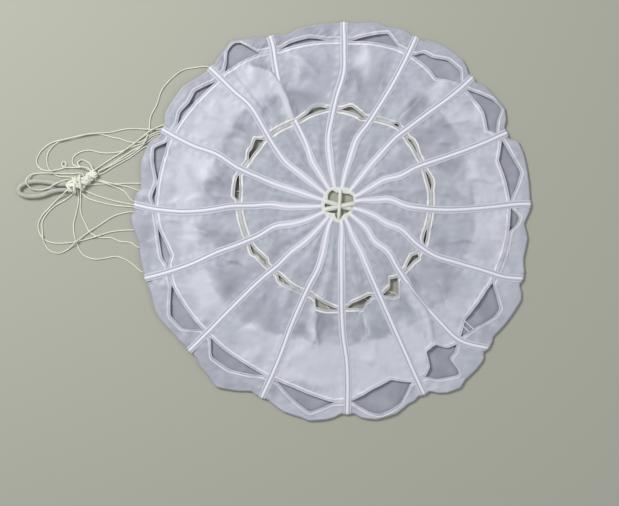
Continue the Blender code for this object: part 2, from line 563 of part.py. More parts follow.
def vent():
    """The binding round the vent and the tapes that cross it."""
    turns = np.array(sorted({b for b, r in VENT_OUTER + VENT_INNER}), float)
    corners = []
    for table, side in ((VENT_INNER, -1), (VENT_OUTER, -1), (VENT_OUTER, 1), (VENT_INNER, 1)):
        height = np.full((len(turns), 1), CROWN_HEIGHT + side * BINDING / 2)
        corners.append(np.hstack([polar(turns, outline(table, turns)), height]))
    loft("vent_binding", np.stack(corners, 1), "binding", closed=True)
    base = CROWN_HEIGHT + (BINDING + TAPE) / 2 + GAP
    shares = np.array(VENT_TAPE_SHARES)
    for number, (start, end, width, (first, middle, last)) in enumerate(VENT_TAPES, 1):
        start, end = np.array(start, float), np.array(end, float)
        plan = (VENT_X, VENT_Y) + start + (end - start) * shares[:, None]
        layers = np.array([first, middle, middle, last])
        centre = np.column_stack([plan, base + layers * (TAPE + GAP)])
        outward = np.tile((end - start) / np.linalg.norm(end - start), (len(shares), 1))
        widths = np.full(len(shares), width)
        strip(f"vent_tape_{number}", centre, outward, widths, "tape")


# --- lines and knot --------------------------------------------------------------------
def held_straight(points):
    """A route's points, with two more on each long run to keep its middle straight."""
    held = [points[0]]
    for start, end in zip(points, points[1:]):
        run = np.linalg.norm(end - start)
        if run > LONG_RUN:
            held += [start + (end - start) * RUN_END / run, end - (end - start) * RUN_END / run]
        held.append(end)
    return np.array(held)


def sampled(points, step):
    """Points at even steps along the smooth curve through a route's own points."""
    points = held_straight(np.asarray(points, float))
    reach = np.append(0, np.cumsum(np.linalg.norm(np.diff(points, axis=0), axis=1)))
    fine = smooth(reach, points, np.arange(0, reach[-1], step / 4))
    length = np.append(0, np.cumsum(np.linalg.norm(np.diff(fine, axis=0), axis=1)))
    at = np.linspace(0, length[-1], max(2, round(length[-1] / step) + 1))
    return np.stack([np.interp(at, length, axis) for axis in fine.T], 1)


def thinned(points, stray):
    """The fewest points whose straight runs stray no further than this from the rest."""
    keep, spans = {0, len(points) - 1}, [(0, len(points) - 1)]
    while spans:
        first, last = spans.pop()
        if last - first < 2:
            continue
        run = points[last] - points[first]
        share = (points[first:last + 1] - points[first]) @ run / max(run @ run, 1e-9)
        away = points[first:last + 1] - points[first] - np.clip(share, 0, 1)[:, None] * run
        away = np.linalg.norm(away * STRAY_WEIGHTS, axis=1)
        worst = int(away.argmax())
        if away[worst] > stray:
            keep.add(first + worst)
            spans += [(first, first + worst), (first + worst, last)]
    return points[sorted(keep)]


def knot_outline():
    """Middle line and half width of the knot, sampled along its length."""
    lumps = sampled([row[:2] for row in KNOT], 1.0)
    reach = np.append(0, np.cumsum(np.linalg.norm(np.diff(lumps, axis=0), axis=1)))
    ends = [np.linalg.norm(lumps - row[:2], axis=1).argmin() for row in KNOT]
    return lumps, smooth(reach[ends], [row[2] for row in KNOT], reach)


def knot_clearance(plan):
    """Distance in plan from each point to the knot's side."""
    lumps, half = knot_outline()
    apart = np.linalg.norm(plan[:, None, :2] - lumps[None], axis=2)
    return (apart - half).min(axis=1)


def knot():
    """The knot: a lumpy sausage along its middle line, flat where it rests."""
    lumps, half = knot_outline()
    along = np.gradient(lumps, axis=0)
    along /= np.linalg.norm(along, axis=1, keepdims=True)
    reach, share = np.array(KNOT_TIPS).T
    middle = np.linspace(0, len(lumps) - 1, KNOT_SECTIONS).round().astype(int)
    at = np.concatenate([[0, 0], middle, [-1, -1]]).astype(int)
    beyond = np.concatenate([-reach[::-1], 0 * middle, reach]) * half[at]
    size = np.concatenate([share[::-1], 0 * middle + 1, share]) * half[at]
    centre = lumps[at] + along[at] * beyond[:, None]
    angle = np.radians(np.arange(0, 360, 360 / KNOT_SIDES))
    across = np.stack([-along[at, 1], along[at, 0]], 1)
    plan = centre[:, None] + (across * size[:, None])[:, None] * np.cos(angle)[:, None]
    tall = KNOT_SQUASH * size[:, None] * np.sin(angle) + KNOT_SEAT * KNOT_SQUASH * half.max()
    height = np.maximum(tall, 0)
    loft("knot", np.concatenate([plan, height[..., None]], 2), "line")


def laid(plan, diameter, below):
    """A cord's way in three dimensions: on the floor, and over whatever it crosses."""
    steps = np.arange(len(plan))
    apart_along = np.abs(steps[:, None] - steps) * STEP
    floor = np.full(len(plan), diameter / 2)
    height = floor
    for _ in range(3):
        own = np.column_stack([plan, height])
        need = floor
        for points, other in below + [(own, diameter)]:
            reach = (diameter + other) / 2 + LINE_GAP
            apart = np.linalg.norm(plan[:, None] - points[None, :, :2], axis=2)
            close = apart < reach
            if points is own:
                close &= (steps[:, None] - steps) * STEP > OWN_LENGTH
            over = points[:, 2] + np.sqrt(np.clip(reach ** 2 - apart ** 2, 0, None))
            need = np.maximum(need, np.where(close, over, 0).max(axis=1))
        height = (need - CLIMB * apart_along).max(axis=1)
        for _ in range(2):
            soft = np.convolve(np.pad(height, 2, mode="edge"), np.ones(5) / 5, mode="valid")
            height = np.maximum(soft, need)
    return np.column_stack([plan, height])


def clear_of_knot(plan):
    """A way without its ends inside the knot."""
    free = np.flatnonzero(knot_clearance(plan) > GAP + KNOT_SPARE)
    return plan[free[0]:free[-1] + 1]


def cords():
    """The riser loop, the suspension lines and the slack loops, each over the last."""
    ways = [("riser_loop", RISER, LOOP)]
    for tape, hidden, exit_bearing, visible in LINES:
        start = float(gore_bearing(tape - 1, np.array(HEM_RADIUS)))
        turns = [(start, LINE_START), *hidden,
                 (exit_bearing, float(rim_radius(exit_bearing)) + EXIT_REACH)]
        under = [polar(bearing, radius) for bearing, radius in turns]
        ways.append((f"suspension_line_{tape:02d}", [*under, *visible], LINE))
    for number, way in enumerate(SLACK_LOOPS, 1):
        ways.append((f"slack_loop_{number}", way, LINE))
    below = []
    for name, way, diameter in ways:
        plan = clear_of_knot(sampled(way, STEP))
        points = thinned(laid(plan, diameter, below), STRAY)
        below.append((sampled_straight(points, STEP / 2), diameter))
        tube(name, points, diameter, "line")


def sampled_straight(points, step):
    """Points at even steps along straight runs between the given points."""
    length = np.append(0, np.cumsum(np.linalg.norm(np.diff(points, axis=0), axis=1)))
    at = np.linspace(0, length[-1], round(length[-1] / step) + 1)
    return np.stack([np.interp(at, length, axis) for axis in points.T], 1)


def main():
    """Clears the scene and makes every piece."""
    for thing in list(bpy.data.objects):
        bpy.data.objects.remove(thing, do_unlink=True)
    parachute = bpy.data.collections.new(COLLECTION)
    bpy.context.scene.collection.children.link(parachute)
    crown_cloth()
    ring_cloth()
    skirt_cloth()
    for number in range(1, 17):
        radial_tape(number)
    vent()
    knot()
    cords()


main()
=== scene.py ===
"""Small ring-slot parachute laid out flat: its sheer cloth, tapes, vent, lines and knot.

Lengths are in millimetres and bearings in degrees, anticlockwise from +X round the vent,
wherever a name or a comment doesn't say metres. build_mesh turns millimetres into metres.
"""

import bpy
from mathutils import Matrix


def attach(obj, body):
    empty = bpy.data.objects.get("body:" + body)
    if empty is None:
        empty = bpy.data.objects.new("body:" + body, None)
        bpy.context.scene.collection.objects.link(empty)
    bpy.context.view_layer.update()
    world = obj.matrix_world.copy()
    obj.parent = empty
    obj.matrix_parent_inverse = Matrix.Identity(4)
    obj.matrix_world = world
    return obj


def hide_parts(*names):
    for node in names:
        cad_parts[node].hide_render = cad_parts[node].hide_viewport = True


bl_info = {
    "name": "Ring-slot parachute",
    "version": (1, 0, 0),
    "blender": (4, 5, 0),
    "location": "3D View > Sidebar > Parachute",
    "description": "Builds a small ring-slot parachute, laid out flat, with its lines",
    "category": "Add Mesh",
}

import bpy
import numpy as np
from bpy.props import FloatProperty, FloatVectorProperty, PointerProperty
from mathutils import Vector

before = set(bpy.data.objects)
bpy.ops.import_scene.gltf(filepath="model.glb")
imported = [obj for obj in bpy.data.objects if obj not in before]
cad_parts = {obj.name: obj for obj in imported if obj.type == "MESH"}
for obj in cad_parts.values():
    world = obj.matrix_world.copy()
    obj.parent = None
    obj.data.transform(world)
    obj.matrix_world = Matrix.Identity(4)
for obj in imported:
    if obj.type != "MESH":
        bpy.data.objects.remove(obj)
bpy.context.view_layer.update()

MM = 0.001

# --- the packed model's driving sizes ---
VENT_X, VENT_Y = 7.0, 15.1         # the vent lies off the middle of the rim
CLOTH_SPACE = 1.0                  # the room that a cloth layer has in the packed model
TAPE_SPACE = 0.8                   # and a tape
HEM_RADIUS = 120.0                 # the lower layer's inner hem
LINE_START = 118.0                 # the lines begin just inside it
SLOT_SEAM = 0.02                   # clearance where two rings' hems meet
FOLD_INSET = 1.6                   # the rim's fold starts this far inside the rim
CROWN_HEIGHT = 2.4                 # middle of the crown's cloth beside the vent
OUTER_HEIGHT = 3.2                 # middle of the upper cloth from the ring outwards
LINE_RAISE = 1.6                   # the lower layer's lift over the lines
TAPE_RAISE = TAPE_SPACE + 0.3      # and over the tape sewn under it
LINE_GAP = 0.45                    # clearance where one line lies over another
CLIMB = 0.42                       # steepest rise of a line beside a crossing
STEP = 1.5                         # spacing along a line while its heights are worked out
CROWN_RISE = (25, 105)             # radii over which the cloth rises from crown to ring
LINE_RISE = (76, 118)              # radii over which it rises to pass over the lines
CROWN_BILLOW = (22, 60)            # radii over which the crown's billow begins
SKIRT_BILLOW = (140, 170)          # radii over which the ring's billow turns to the skirt's
TAPE_BUMP = (1.3, 3.6)             # bearings beside a tape where the lower layer comes down
TAPE_SIDE = 4.2                    # the upper cloth is level this far beside a tape
BILLOW_LEAN = 0.3                  # how much a billow leans to one side
RADII = np.arange(0, 221.0)        # radii at which the tapes' bearings are kept
PAST_LAST = 4                      # the rim counts as at least this far past TAPE_RADII
LONG_RUN, RUN_END = 32.0, 10.0     # a line's longer runs are straight but for their ends
OWN_LENGTH = 6.0                   # a line may cross itself once it is this far on
EXIT_REACH = 2.0                   # a line lies flat until it is this far past the rim
INTO_KNOT = 2.2                    # and ends this far inside the knot

# --- tapes: bearing at each radius, then at the rim ---
TAPE_RADII = (20, 32, 46, 60, 78, 97, 120, 143, 166)
TAPES = (
    (11.0, 7.3, 6.0, -0.5, -2.6, -2.9, -2.0, -0.8, 0.2, 0.2),
    (26.5, 28.0, 28.8, 25.4, 25.6, 24.4, 23.4, 23.1, 23.2, 23.2),
    (51.0, 51.1, 51.2, 50.5, 49.8, 47.5, 45.5, 44.0, 43.6, 43.6),
    (79.0, 77.8, 76.0, 75.0, 70.2, 67.7, 66.0, 65.3, 65.2, 65.2),
    (103.2, 102.0, 100.6, 99.2, 95.2, 91.8, 88.2, 88.1, 88.4, 88.4),
    (122.0, 121.8, 121.5, 118.8, 118.2, 118.0, 116.8, 114.3, 112.3, 112.3),
    (141.5, 141.6, 141.6, 141.6, 138.4, 134.8, 132.1, 133.0, 133.3, 133.4),
    (163.5, 163.0, 162.6, 162.5, 161.2, 160.1, 157.7, 158.1, 157.4, 157.0),
    (185.5, 184.0, 182.8, 180.4, 180.9, 181.0, 182.6, 182.8, 181.6, 180.0),
    (207.0, 205.8, 202.6, 199.0, 201.2, 201.7, 201.5, 202.0, 201.6, 200.8),
    (230.0, 229.2, 227.6, 225.2, 225.0, 224.0, 223.9, 224.0, 224.2, 224.3),
    (244.0, 248.4, 251.6, 252.0, 249.9, 249.0, 248.5, 248.7, 248.6, 248.2),
    (277.5, 274.5, 272.8, 272.4, 271.9, 271.5, 271.8, 272.8, 272.8, 272.3),
    (295.0, 294.0, 295.2, 294.6, 294.1, 293.9, 293.9, 294.0, 294.1, 294.2),
    (320.0, 319.7, 314.4, 316.4, 312.9, 311.0, 310.6, 310.8, 311.6, 316.0),
    (346.0, 343.5, 338.8, 338.6, 333.5, 331.9, 333.8, 335.4, 336.4, 338.0),
)
TAPE_WIDTHS = ((15, 3.6), (20, 4.8), (32, 6.4), (48, 7.0))    # radius, width
GORES = len(TAPES)                 # panels of cloth, one between each tape and the next

# --- outlines: (bearing, radius) at each turn of an edge ---
RIM = (
    (0, 175.5), (15.7, 176), (19.5, 174.5), (22.9, 167), (27.5, 173), (30, 176),
    (39, 173), (43.2, 168.5), (49.5, 175), (56, 175), (61, 173), (63, 169.5),
    (65.2, 169), (69, 171.5), (75, 169.5), (78, 171), (84, 167.5), (88.4, 167),
    (103, 166), (106.5, 163), (112.3, 166.5), (116, 171), (120, 175), (123.3, 180),
    (127.5, 175.5), (133, 172), (137.5, 173.5), (143, 179.5), (152, 180), (157, 175.5),
    (160, 180), (162, 183), (167.5, 185.5), (175.7, 182), (176.5, 185.5), (180, 187),
    (182.5, 191), (184.5, 191), (191, 186), (195, 188.5), (205, 190.5), (210, 194.5),
    (212.5, 195), (218, 192.5), (224.3, 191.5), (227.5, 192.5), (229.5, 195.5),
    (233, 198), (236, 202), (241, 195.5), (245, 189), (248.2, 190.5), (251, 192.5),
    (255, 197), (260, 198.5), (262, 200.5), (267, 197.5), (272.3, 192), (277, 198),
    (280, 200.5), (285.5, 199), (289, 194), (292, 193), (294.2, 190.5), (297, 194.5),
    (300, 199.5), (303.5, 202), (305.7, 198.5), (310, 197), (314.5, 194), (316, 189.5),
    (319.5, 186.5), (324, 188), (332.5, 189), (336.8, 182), (340, 180.5), (344, 176.5),
    (350, 176), (354.2, 171), (356.5, 173.5),
)
VENT_OUTER = (
    (0, 15.5), (30, 18), (60, 17.5), (90, 16), (110, 17.5), (130, 17), (160, 16),
    (200, 16.5), (245, 15.5), (270, 17), (300, 14.5), (330, 14.5),
)
VENT_INNER = (
    (0, 12.5), (30, 15), (45, 13.5), (60, 11.5), (90, 10.5), (102, 11), (115, 14.5),
    (130, 14), (155, 11), (180, 13), (210, 12.5), (225, 10.5), (245, 8.5), (262, 13),
    (270, 14), (280, 11.5), (300, 9.5), (315, 11), (335, 11),
)

# --- openings in the two slots: far edge from end to end, then the near edge between ---
OUTER_SLOT = (
    (((1.5, 157), (5, 162.5), (10, 169), (16, 163.5), (21.5, 160.5)),
     ((10, 154), (15.5, 152))),
    (((24.7, 158), (28, 164.5), (30.5, 173), (34, 170.5), (42, 157.5)),
     ((26.5, 152.5), (33, 158))),
    (((45, 157.5), (47.7, 165.5), (53, 165.5), (57.5, 159.5), (61, 159), (63.5, 152.5)),
     ((52.5, 146.5), (56, 149.5))),
    (((69.5, 154), (74, 163), (77.5, 159.5), (85.7, 150.5)),
     ((74, 154), (80, 152.5))),
    (((94.5, 151), (100, 155), (107, 154.5), (110.8, 152)),
     ((100, 152), (107, 152))),
    (((118, 157), (122, 176.5), (125.5, 175.5), (128.5, 165.5), (130.6, 160.5)),
     ((120, 159.5), (128, 159.5))),
    (((135.4, 159.5), (141.8, 167.5), (145.5, 165.5), (150, 168), (153.5, 165)),
     ((142, 161), (149, 163.5))),
    (((160.1, 167), (163, 177), (167, 174), (172.5, 167.5)),
     ((163, 166.5), (168, 167))),
    (((174, 168), (177, 171), (178.4, 171), (179.6, 169)),
     ((176.5, 168),)),
    (((187.5, 167), (193, 168), (197, 169), (199.6, 166.5)),
     ((192.5, 163), (197, 161))),
    (((205.8, 170), (213.3, 184.5), (218.5, 182.5), (222.4, 169.5)),
     ((213, 174), (219, 171))),
    (((226.3, 169.5), (230, 181.5), (236.5, 181), (246.4, 171)),
     ((231, 170), (240, 169.5))),
    (((250.8, 171.5), (258.2, 185.5), (262, 192), (268.3, 181.5)),
     ((256, 173), (263, 177.5))),
    (((273.7, 180.5), (278.5, 192.5), (281, 195.5), (284, 194), (287.3, 190.5),
      (292, 176)), ((280.5, 172), (286.5, 167.5))),
    (((296.8, 176.5), (299, 183), (305.3, 191), (307.5, 174), (310, 167.5)),
     ((299.5, 170), (300.7, 156.5), (304.6, 156), (307, 165))),
    (((312.6, 165), (317.8, 168), (324, 175.5), (327, 175.5), (332.8, 158)),
     ((317.8, 156.5), (330, 156.5))),
    (((351.2, 158), (353.3, 163.5), (356, 166), (358.7, 158)),
     ((353, 157.5), (357, 157.5))),
)
INNER_SLOT = (
    (((8.8, 85), (12.5, 87), (15.5, 87.5), (21.6, 85)),
     ((15, 84.5),)),
    (((33, 85.5), (37.5, 88), (41.5, 89), (44.3, 87.5)),
     ((38, 86.5), (42, 86.5))),
    (((52.3, 90), (54.2, 91.5), (56, 89)),
     ((54, 89),)),
    (((73.5, 83), (77.5, 86), (82.3, 90), (84.5, 90), (88.5, 87)),
     ((75.5, 82), (80, 85.5), (85, 86.5))),
    (((96.7, 88.5), (101.5, 91.5), (105.7, 91.5), (109, 88), (116.5, 85.5)),
     ((107, 87.5), (112, 86))),
    (((139.6, 91), (142, 97), (147, 94.5), (150.3, 95), (153.8, 92)),
     ((145, 90.5), (150, 91.5))),
    (((163.3, 95.5), (165, 96.5), (175.8, 96), (177.5, 92)),
     ((167.5, 93.5), (172, 92))),
    (((203.3, 89), (207.5, 90.5), (210.2, 90.5), (212, 88), (219.5, 86.5)),
     ((207.5, 88), (212.5, 85.5), (217.5, 84))),
    (((229, 85), (231.5, 88), (236, 88), (238.8, 86.5)),
     ((233, 85), (237, 86))),
    (((252.7, 86.5), (256.1, 89), (257, 96), (263, 97), (269.3, 96)),
     ((256.8, 90.5), (260, 93), (265, 94.5))),
    (((274.5, 95), (280, 96), (281.6, 97.5), (283.2, 97.5), (284.7, 93.5), (289.8, 89)),
     ((277.5, 91.5), (282.5, 89.5), (288, 88))),
    (((295.8, 92), (300.5, 98), (303.5, 98.5), (305.5, 93.5), (308.6, 86)),
     ((298.5, 91), (301.4, 90.3), (304.3, 82.8))),
    (((316.4, 85), (320, 84), (326.3, 87.5), (327.7, 85.5)),
     ((320, 83), (325, 82))),
    (((335.6, 86.5), (341, 84.5), (345.2, 83.5)),
     ((336.5, 84), (342, 83))),
)

# --- the cloth's billow between each tape and the next: ring and crown, skirt ---
BILLOW = (
    (1.2, 0.6), (1.6, 0.9), (1.0, 0.5), (1.3, 0.4), (0.8, 0.4), (1.5, 1.0),
    (1.1, 0.6), (1.7, 0.7), (0.9, 0.5), (1.4, 0.9), (1.2, 0.8), (1.6, 1.0),
    (1.3, 1.1), (1.7, 0.9), (1.1, 0.7), (1.5, 0.6),
)

# --- where the lower layer lifts over lines: bearings at which it rises and falls ---
LIFTED = (127.8, 129.6, 229.0, 234.0)

# --- lines, in the order in which they lie on each other ---
# each row: the tape that it hangs from, its bends under the cloth as (bearing, radius), its
# bearing where it leaves the rim, and its way from there to the knot as (x, y)
LINES = (
    (8, ((159.5, 150),), 163.3,
     ((-176, 65.2), (-184, 59.3), (-194.6, 53.2), (-201, 49.6),
      (-211, 43.7), (-217, 42))),
    (2, ((133, 88),), 159.5,
     ((-164.3, 76.2), (-167.7, 73.3), (-172.6, 70.4), (-180.5, 66), (-187.5, 61.9),
      (-194.6, 57.2), (-202, 52.5), (-212, 46), (-217, 43))),
    (3, ((133, 98),), 158.4,
     ((-165.7, 77.8), (-169.1, 74.7), (-173.4, 71.7), (-177.2, 70.1), (-181, 69),
      (-185.8, 67.2), (-190, 65.3), (-196, 63.4), (-204, 62.6), (-212, 63), (-222, 65),
      (-232, 63), (-237.5, 58), (-237.5, 52.5), (-230, 49.5), (-222, 46.5), (-217, 44))),
    (4, ((133, 103),), 157.7,
     ((-166.9, 78.9), (-170.2, 75.7), (-173.9, 73.2), (-177.5, 72.3), (-181, 72.2),
      (-186.8, 73), (-194.6, 75.7), (-201, 77), (-213, 80), (-220, 80.5), (-237, 76),
      (-248, 74), (-257, 68), (-261, 61), (-261, 52), (-257, 44.5), (-251, 41.5),
      (-240, 40.5), (-231, 39.5), (-225, 37))),
    (1, ((60, 28), (110, 26), (172.3, 92), (172.3, 118)), 173.9,
     ((-195.5, 34.5), (-213, 34), (-224, 33.5), (-230, 33))),
    (16, ((285, 30), (240, 32), (175.3, 118)), 175.9,
     ((-185, 31), (-201, 34.5), (-212, 37.5), (-219, 41))),
    (9, ((180.2, 150),), 179.0,
     ((-190, 27), (-201, 32.5), (-211, 36), (-220, 38.5))),
    (15, ((301, 94), (245, 50), (190, 116), (182, 150)), 179.97,
     ((-194.5, 17.5), (-211, 22), (-224, 27), (-231, 31))),
    (14, ((286.3, 91), (242, 64), (193.2, 116), (183.6, 150)), 180.65,
     ((-198.5, 14.5), (-213, 17.5), (-226, 22.5), (-233, 30))),
    (10, ((195, 150),), 192.0,
     ((-184, -20), (-194.5, -18.5), (-202, -15.5), (-214.5, -14.5), (-222, -10),
      (-226, -2.5), (-230.5, 9), (-230.5, 19.5), (-230, 30))),
    (11, ((210, 150),), 198.7,
     ((-181.5, -40.5), (-190, -35), (-198, -32.5), (-207.5, -34), (-217.5, -35),
      (-228, -31), (-233.5, -22), (-236, -14), (-237, -4), (-234.5, 7.5),
      (-232.5, 17.5), (-233, 30))),
    (12, ((234, 87), (197.8, 116), (189.5, 150)), 187.0,
     ((-203, -10), (-216, -14), (-232.5, -18.5), (-243, -20), (-255.5, -20),
      (-263, -17.5), (-268, -11), (-269.5, -3.5), (-266.5, 4), (-259, 12.5),
      (-250.5, 21), (-244.5, 26), (-238, 31))),
    (13, ((262, 92), (240, 78), (195.5, 116), (185.3, 150)), 182.0,
     ((-196.5, 6), (-216, -5.5), (-227, -13), (-235.5, -20), (-243, -26.5),
      (-251, -29.5), (-259.5, -26.5), (-264, -19), (-265.5, -10), (-265.5, 0),
      (-261, 7.5), (-253.5, 14.5), (-244, 20), (-238, 25), (-235, 31))),
    (7, ((133.3, 150),), 133.4,
     ((-126.5, 141), (-136, 139), (-147, 131), (-156, 120), (-160.5, 107), (-166, 96),
      (-167.5, 84), (-170, 75), (-172.8, 70.3), (-177, 66.7), (-184.5, 61.3),
      (-194.8, 55.3), (-201.5, 51.6), (-209, 48), (-217, 44.5))),
    (5, ((133, 108),), 156.95,
     ((-163.5, 84.2), (-169, 84.3), (-176, 84.9), (-190, 84.5), (-201, 82), (-222, 80),
      (-245, 75), (-259, 71), (-268.5, 62), (-271, 54), (-267, 48), (-260, 46),
      (-252, 47.2), (-248.3, 48.1), (-245.2, 49.3), (-243.7, 51.6), (-244.5, 54.1),
      (-246.5, 54.5), (-247.7, 52.8), (-247, 50.7), (-244.8, 49.4), (-241, 49.2), (-227, 48.8),
      (-218, 45))),
    (6, ((133, 113),), 155.7,
     ((-160.5, 86), (-166.6, 82.4), (-173.5, 77.4), (-180, 72.3), (-184.5, 68.9),
      (-190, 65), (-203.8, 56.3), (-213.9, 49.5), (-218, 46.5))),
)
SLACK_LOOPS = (
    ((-218, 45), (-220.5, 51), (-224, 54.3), (-230.5, 56), (-233, 53.5), (-231, 50.5),
     (-223, 48.5), (-219, 44)),
    ((-226, 39), (-229, 43.3), (-238, 43.7), (-252, 43.8), (-261, 44.2), (-269, 44),
     (-276.5, 42), (-279.5, 37), (-276, 30.5), (-269.5, 28.5), (-261, 30),
     (-253.5, 33.5), (-245, 37.5), (-237, 38.5), (-230, 36)),
)
RISER = ((-238, 33.8), (-244, 33.8), (-250, 33.8), (-256, 35), (-265, 36.3), (-274, 36.3),
         (-282, 34), (-286.6, 30), (-286.6, 26.5), (-282.5, 23.6), (-275, 22.7),
         (-264, 24.3), (-256, 27.3), (-250, 28.4), (-244, 28.6), (-238, 28.6))
KNOT = ((-215.5, 45, 4.4), (-224, 38.5, 4.6), (-233, 33.5, 7.0), (-243, 31.1, 4.8))
KNOT_SQUASH = 0.62                 # half height of the knot over its half width

# --- vent tapes ---
# from (x, y) to (x, y) beside the vent's centre, width, and the layer in which each lies at
# its start, middle and end
VENT_TAPES = (
    ((-14.6, 3.8), (13.4, -4.6), 4.5, (0, 0, 0)),
    ((-13.8, -4.8), (14.6, 1.2), 4.5, (0, 1, 1)),
    ((1.4, 15.0), (-0.4, -14.2), 3.0, (0, 2, 0)),
)
VENT_TAPE_SHARES = (0, 0.2, 0.8, 1)     # where along it each such layer begins or ends
BINDING = 1.6                           # thickness of the binding

# --- what the cloth shows: folds and creases, the lower layer's edge ---
# folds of the upper cloth as (bearing, radius) from end to end, then the height and how
# far it slopes to the left and to the right, seen from the first end
FOLDS = (
    (((54, 90), (52.6, 126)), 1.1, 1.2, 7),
    (((27.5, 124), (33, 106)), 0.8, 1.2, 5),
    (((17.5, 104), (19, 116)), 0.5, 2, 4),
    (((69.3, 104), (71.9, 140)), 0.9, 1.3, 7),
    (((6.1, 93), (359.3, 112)), 0.6, 1.5, 4),
    (((303, 150), (306.5, 140), (310, 115)), 1.2, 1.2, 7),
    (((281.4, 129), (283.6, 98)), 0.8, 1.1, 1.3),
    (((284.3, 160), (287.7, 141)), 0.6, 1.6, 4),
    (((262, 134), (256, 92)), 1.3, 5, 1.5),
    (((188.5, 136), (191.8, 126), (195.8, 119.5)), 1.0, 1.1, 6),
    (((227.6, 107), (235.2, 119)), 0.6, 1.4, 2.5),
    (((250.4, 134), (252.9, 162)), 0.6, 2, 2.5),
    (((323, 113), (316, 139)), 0.7, 3, 2.5),
    (((304, 103), (307, 124)), 0.7, 5, 1.5),
    (((286.6, 61), (285.8, 80)), 0.6, 1.4, 2.2),
    (((278, 66), (283.5, 82)), 0.6, 5, 1.4),
    (((141, 102), (147, 126)), 0.8, 6, 2),
    (((164, 124), (171, 103)), 0.7, 7, 3),
    (((98, 118), (106, 146)), 0.7, 8, 3),
    (((213, 104), (206, 131)), 0.9, 7, 3),
    (((236, 131), (230, 152)), 0.7, 6, 3),
    (((341, 104), (346, 136)), 0.7, 7, 2.5),
    (((12, 120), (8, 146)), 0.7, 8, 4),
    (((38, 118), (33, 146)), 0.8, 7, 3.5),
    (((80, 102), (84, 122)), 0.8, 7, 3),
    (((142.6, 81.7), (156.3, 68.8), (152.8, 52.3)), 0.5, 1.2, 0.9),
    (((150, 116), (143, 98)), 0.8, 2, 6),
    (((262, 112), (258, 138)), 0.8, 1.5, 5),
    (((128, 131), (136, 123)), 0.6, 5, 1.5),
    (((216, 96), (206, 116)), 0.7, 1.5, 5),
    (((184, 104), (173, 128)), 0.7, 5, 2),
    (((5, 126), (356, 146)), 0.6, 2, 6),
    (((328, 100), (333, 124)), 0.7, 5, 1.5),
    (((289, 104), (291, 128)), 0.6, 2, 5),
    (((203, 60), (213, 74)), 0.5, 1.2, 3),
    (((235, 60), (242, 76)), 0.5, 3, 1.2),
    (((20, 40), (12, 66)), 0.5, 3, 1.4),
    (((58, 40), (62, 68)), 0.5, 1.3, 3),
    (((345, 50), (352, 76)), 0.5, 2.5, 1.2),
    (((300, 44), (306, 72)), 0.6, 1.3, 3),
    (((169, 40), (172, 70)), 0.5, 1.3, 3),
)
FOLDS_OVER_TAPES = (    # the same where the cloth has been laid over a tape
    (((124.1, 152.5), (120.4, 144.5), (117.6, 136.5), (115.8, 124), (116.4, 107),
      (117.4, 92), (119, 84)), 1.7, 1.5, 6),
    (((303.1, 154), (305.4, 145.9), (307.2, 139.5), (308.6, 133.5), (309.5, 125.5),
      (309.8, 112.3), (309.8, 97), (309.5, 90)), 1.1, 6, 1.4),
)
HEM_SEEN = (            # bearing, radius where the lower layer's edge shows, how strongly
    (0, 124, 0.45), (30, 125, 0.3), (60, 127, 0.12), (90, 127, 0.05), (110, 124, 0.15),
    (125, 121, 0.3), (157, 121, 0.35), (182, 126, 0.25), (205, 136, 0.3), (235, 137, 0.3),
    (250, 129, 0.6), (290, 129, 0.6), (320, 130, 0.3), (340, 127, 0.4),
)
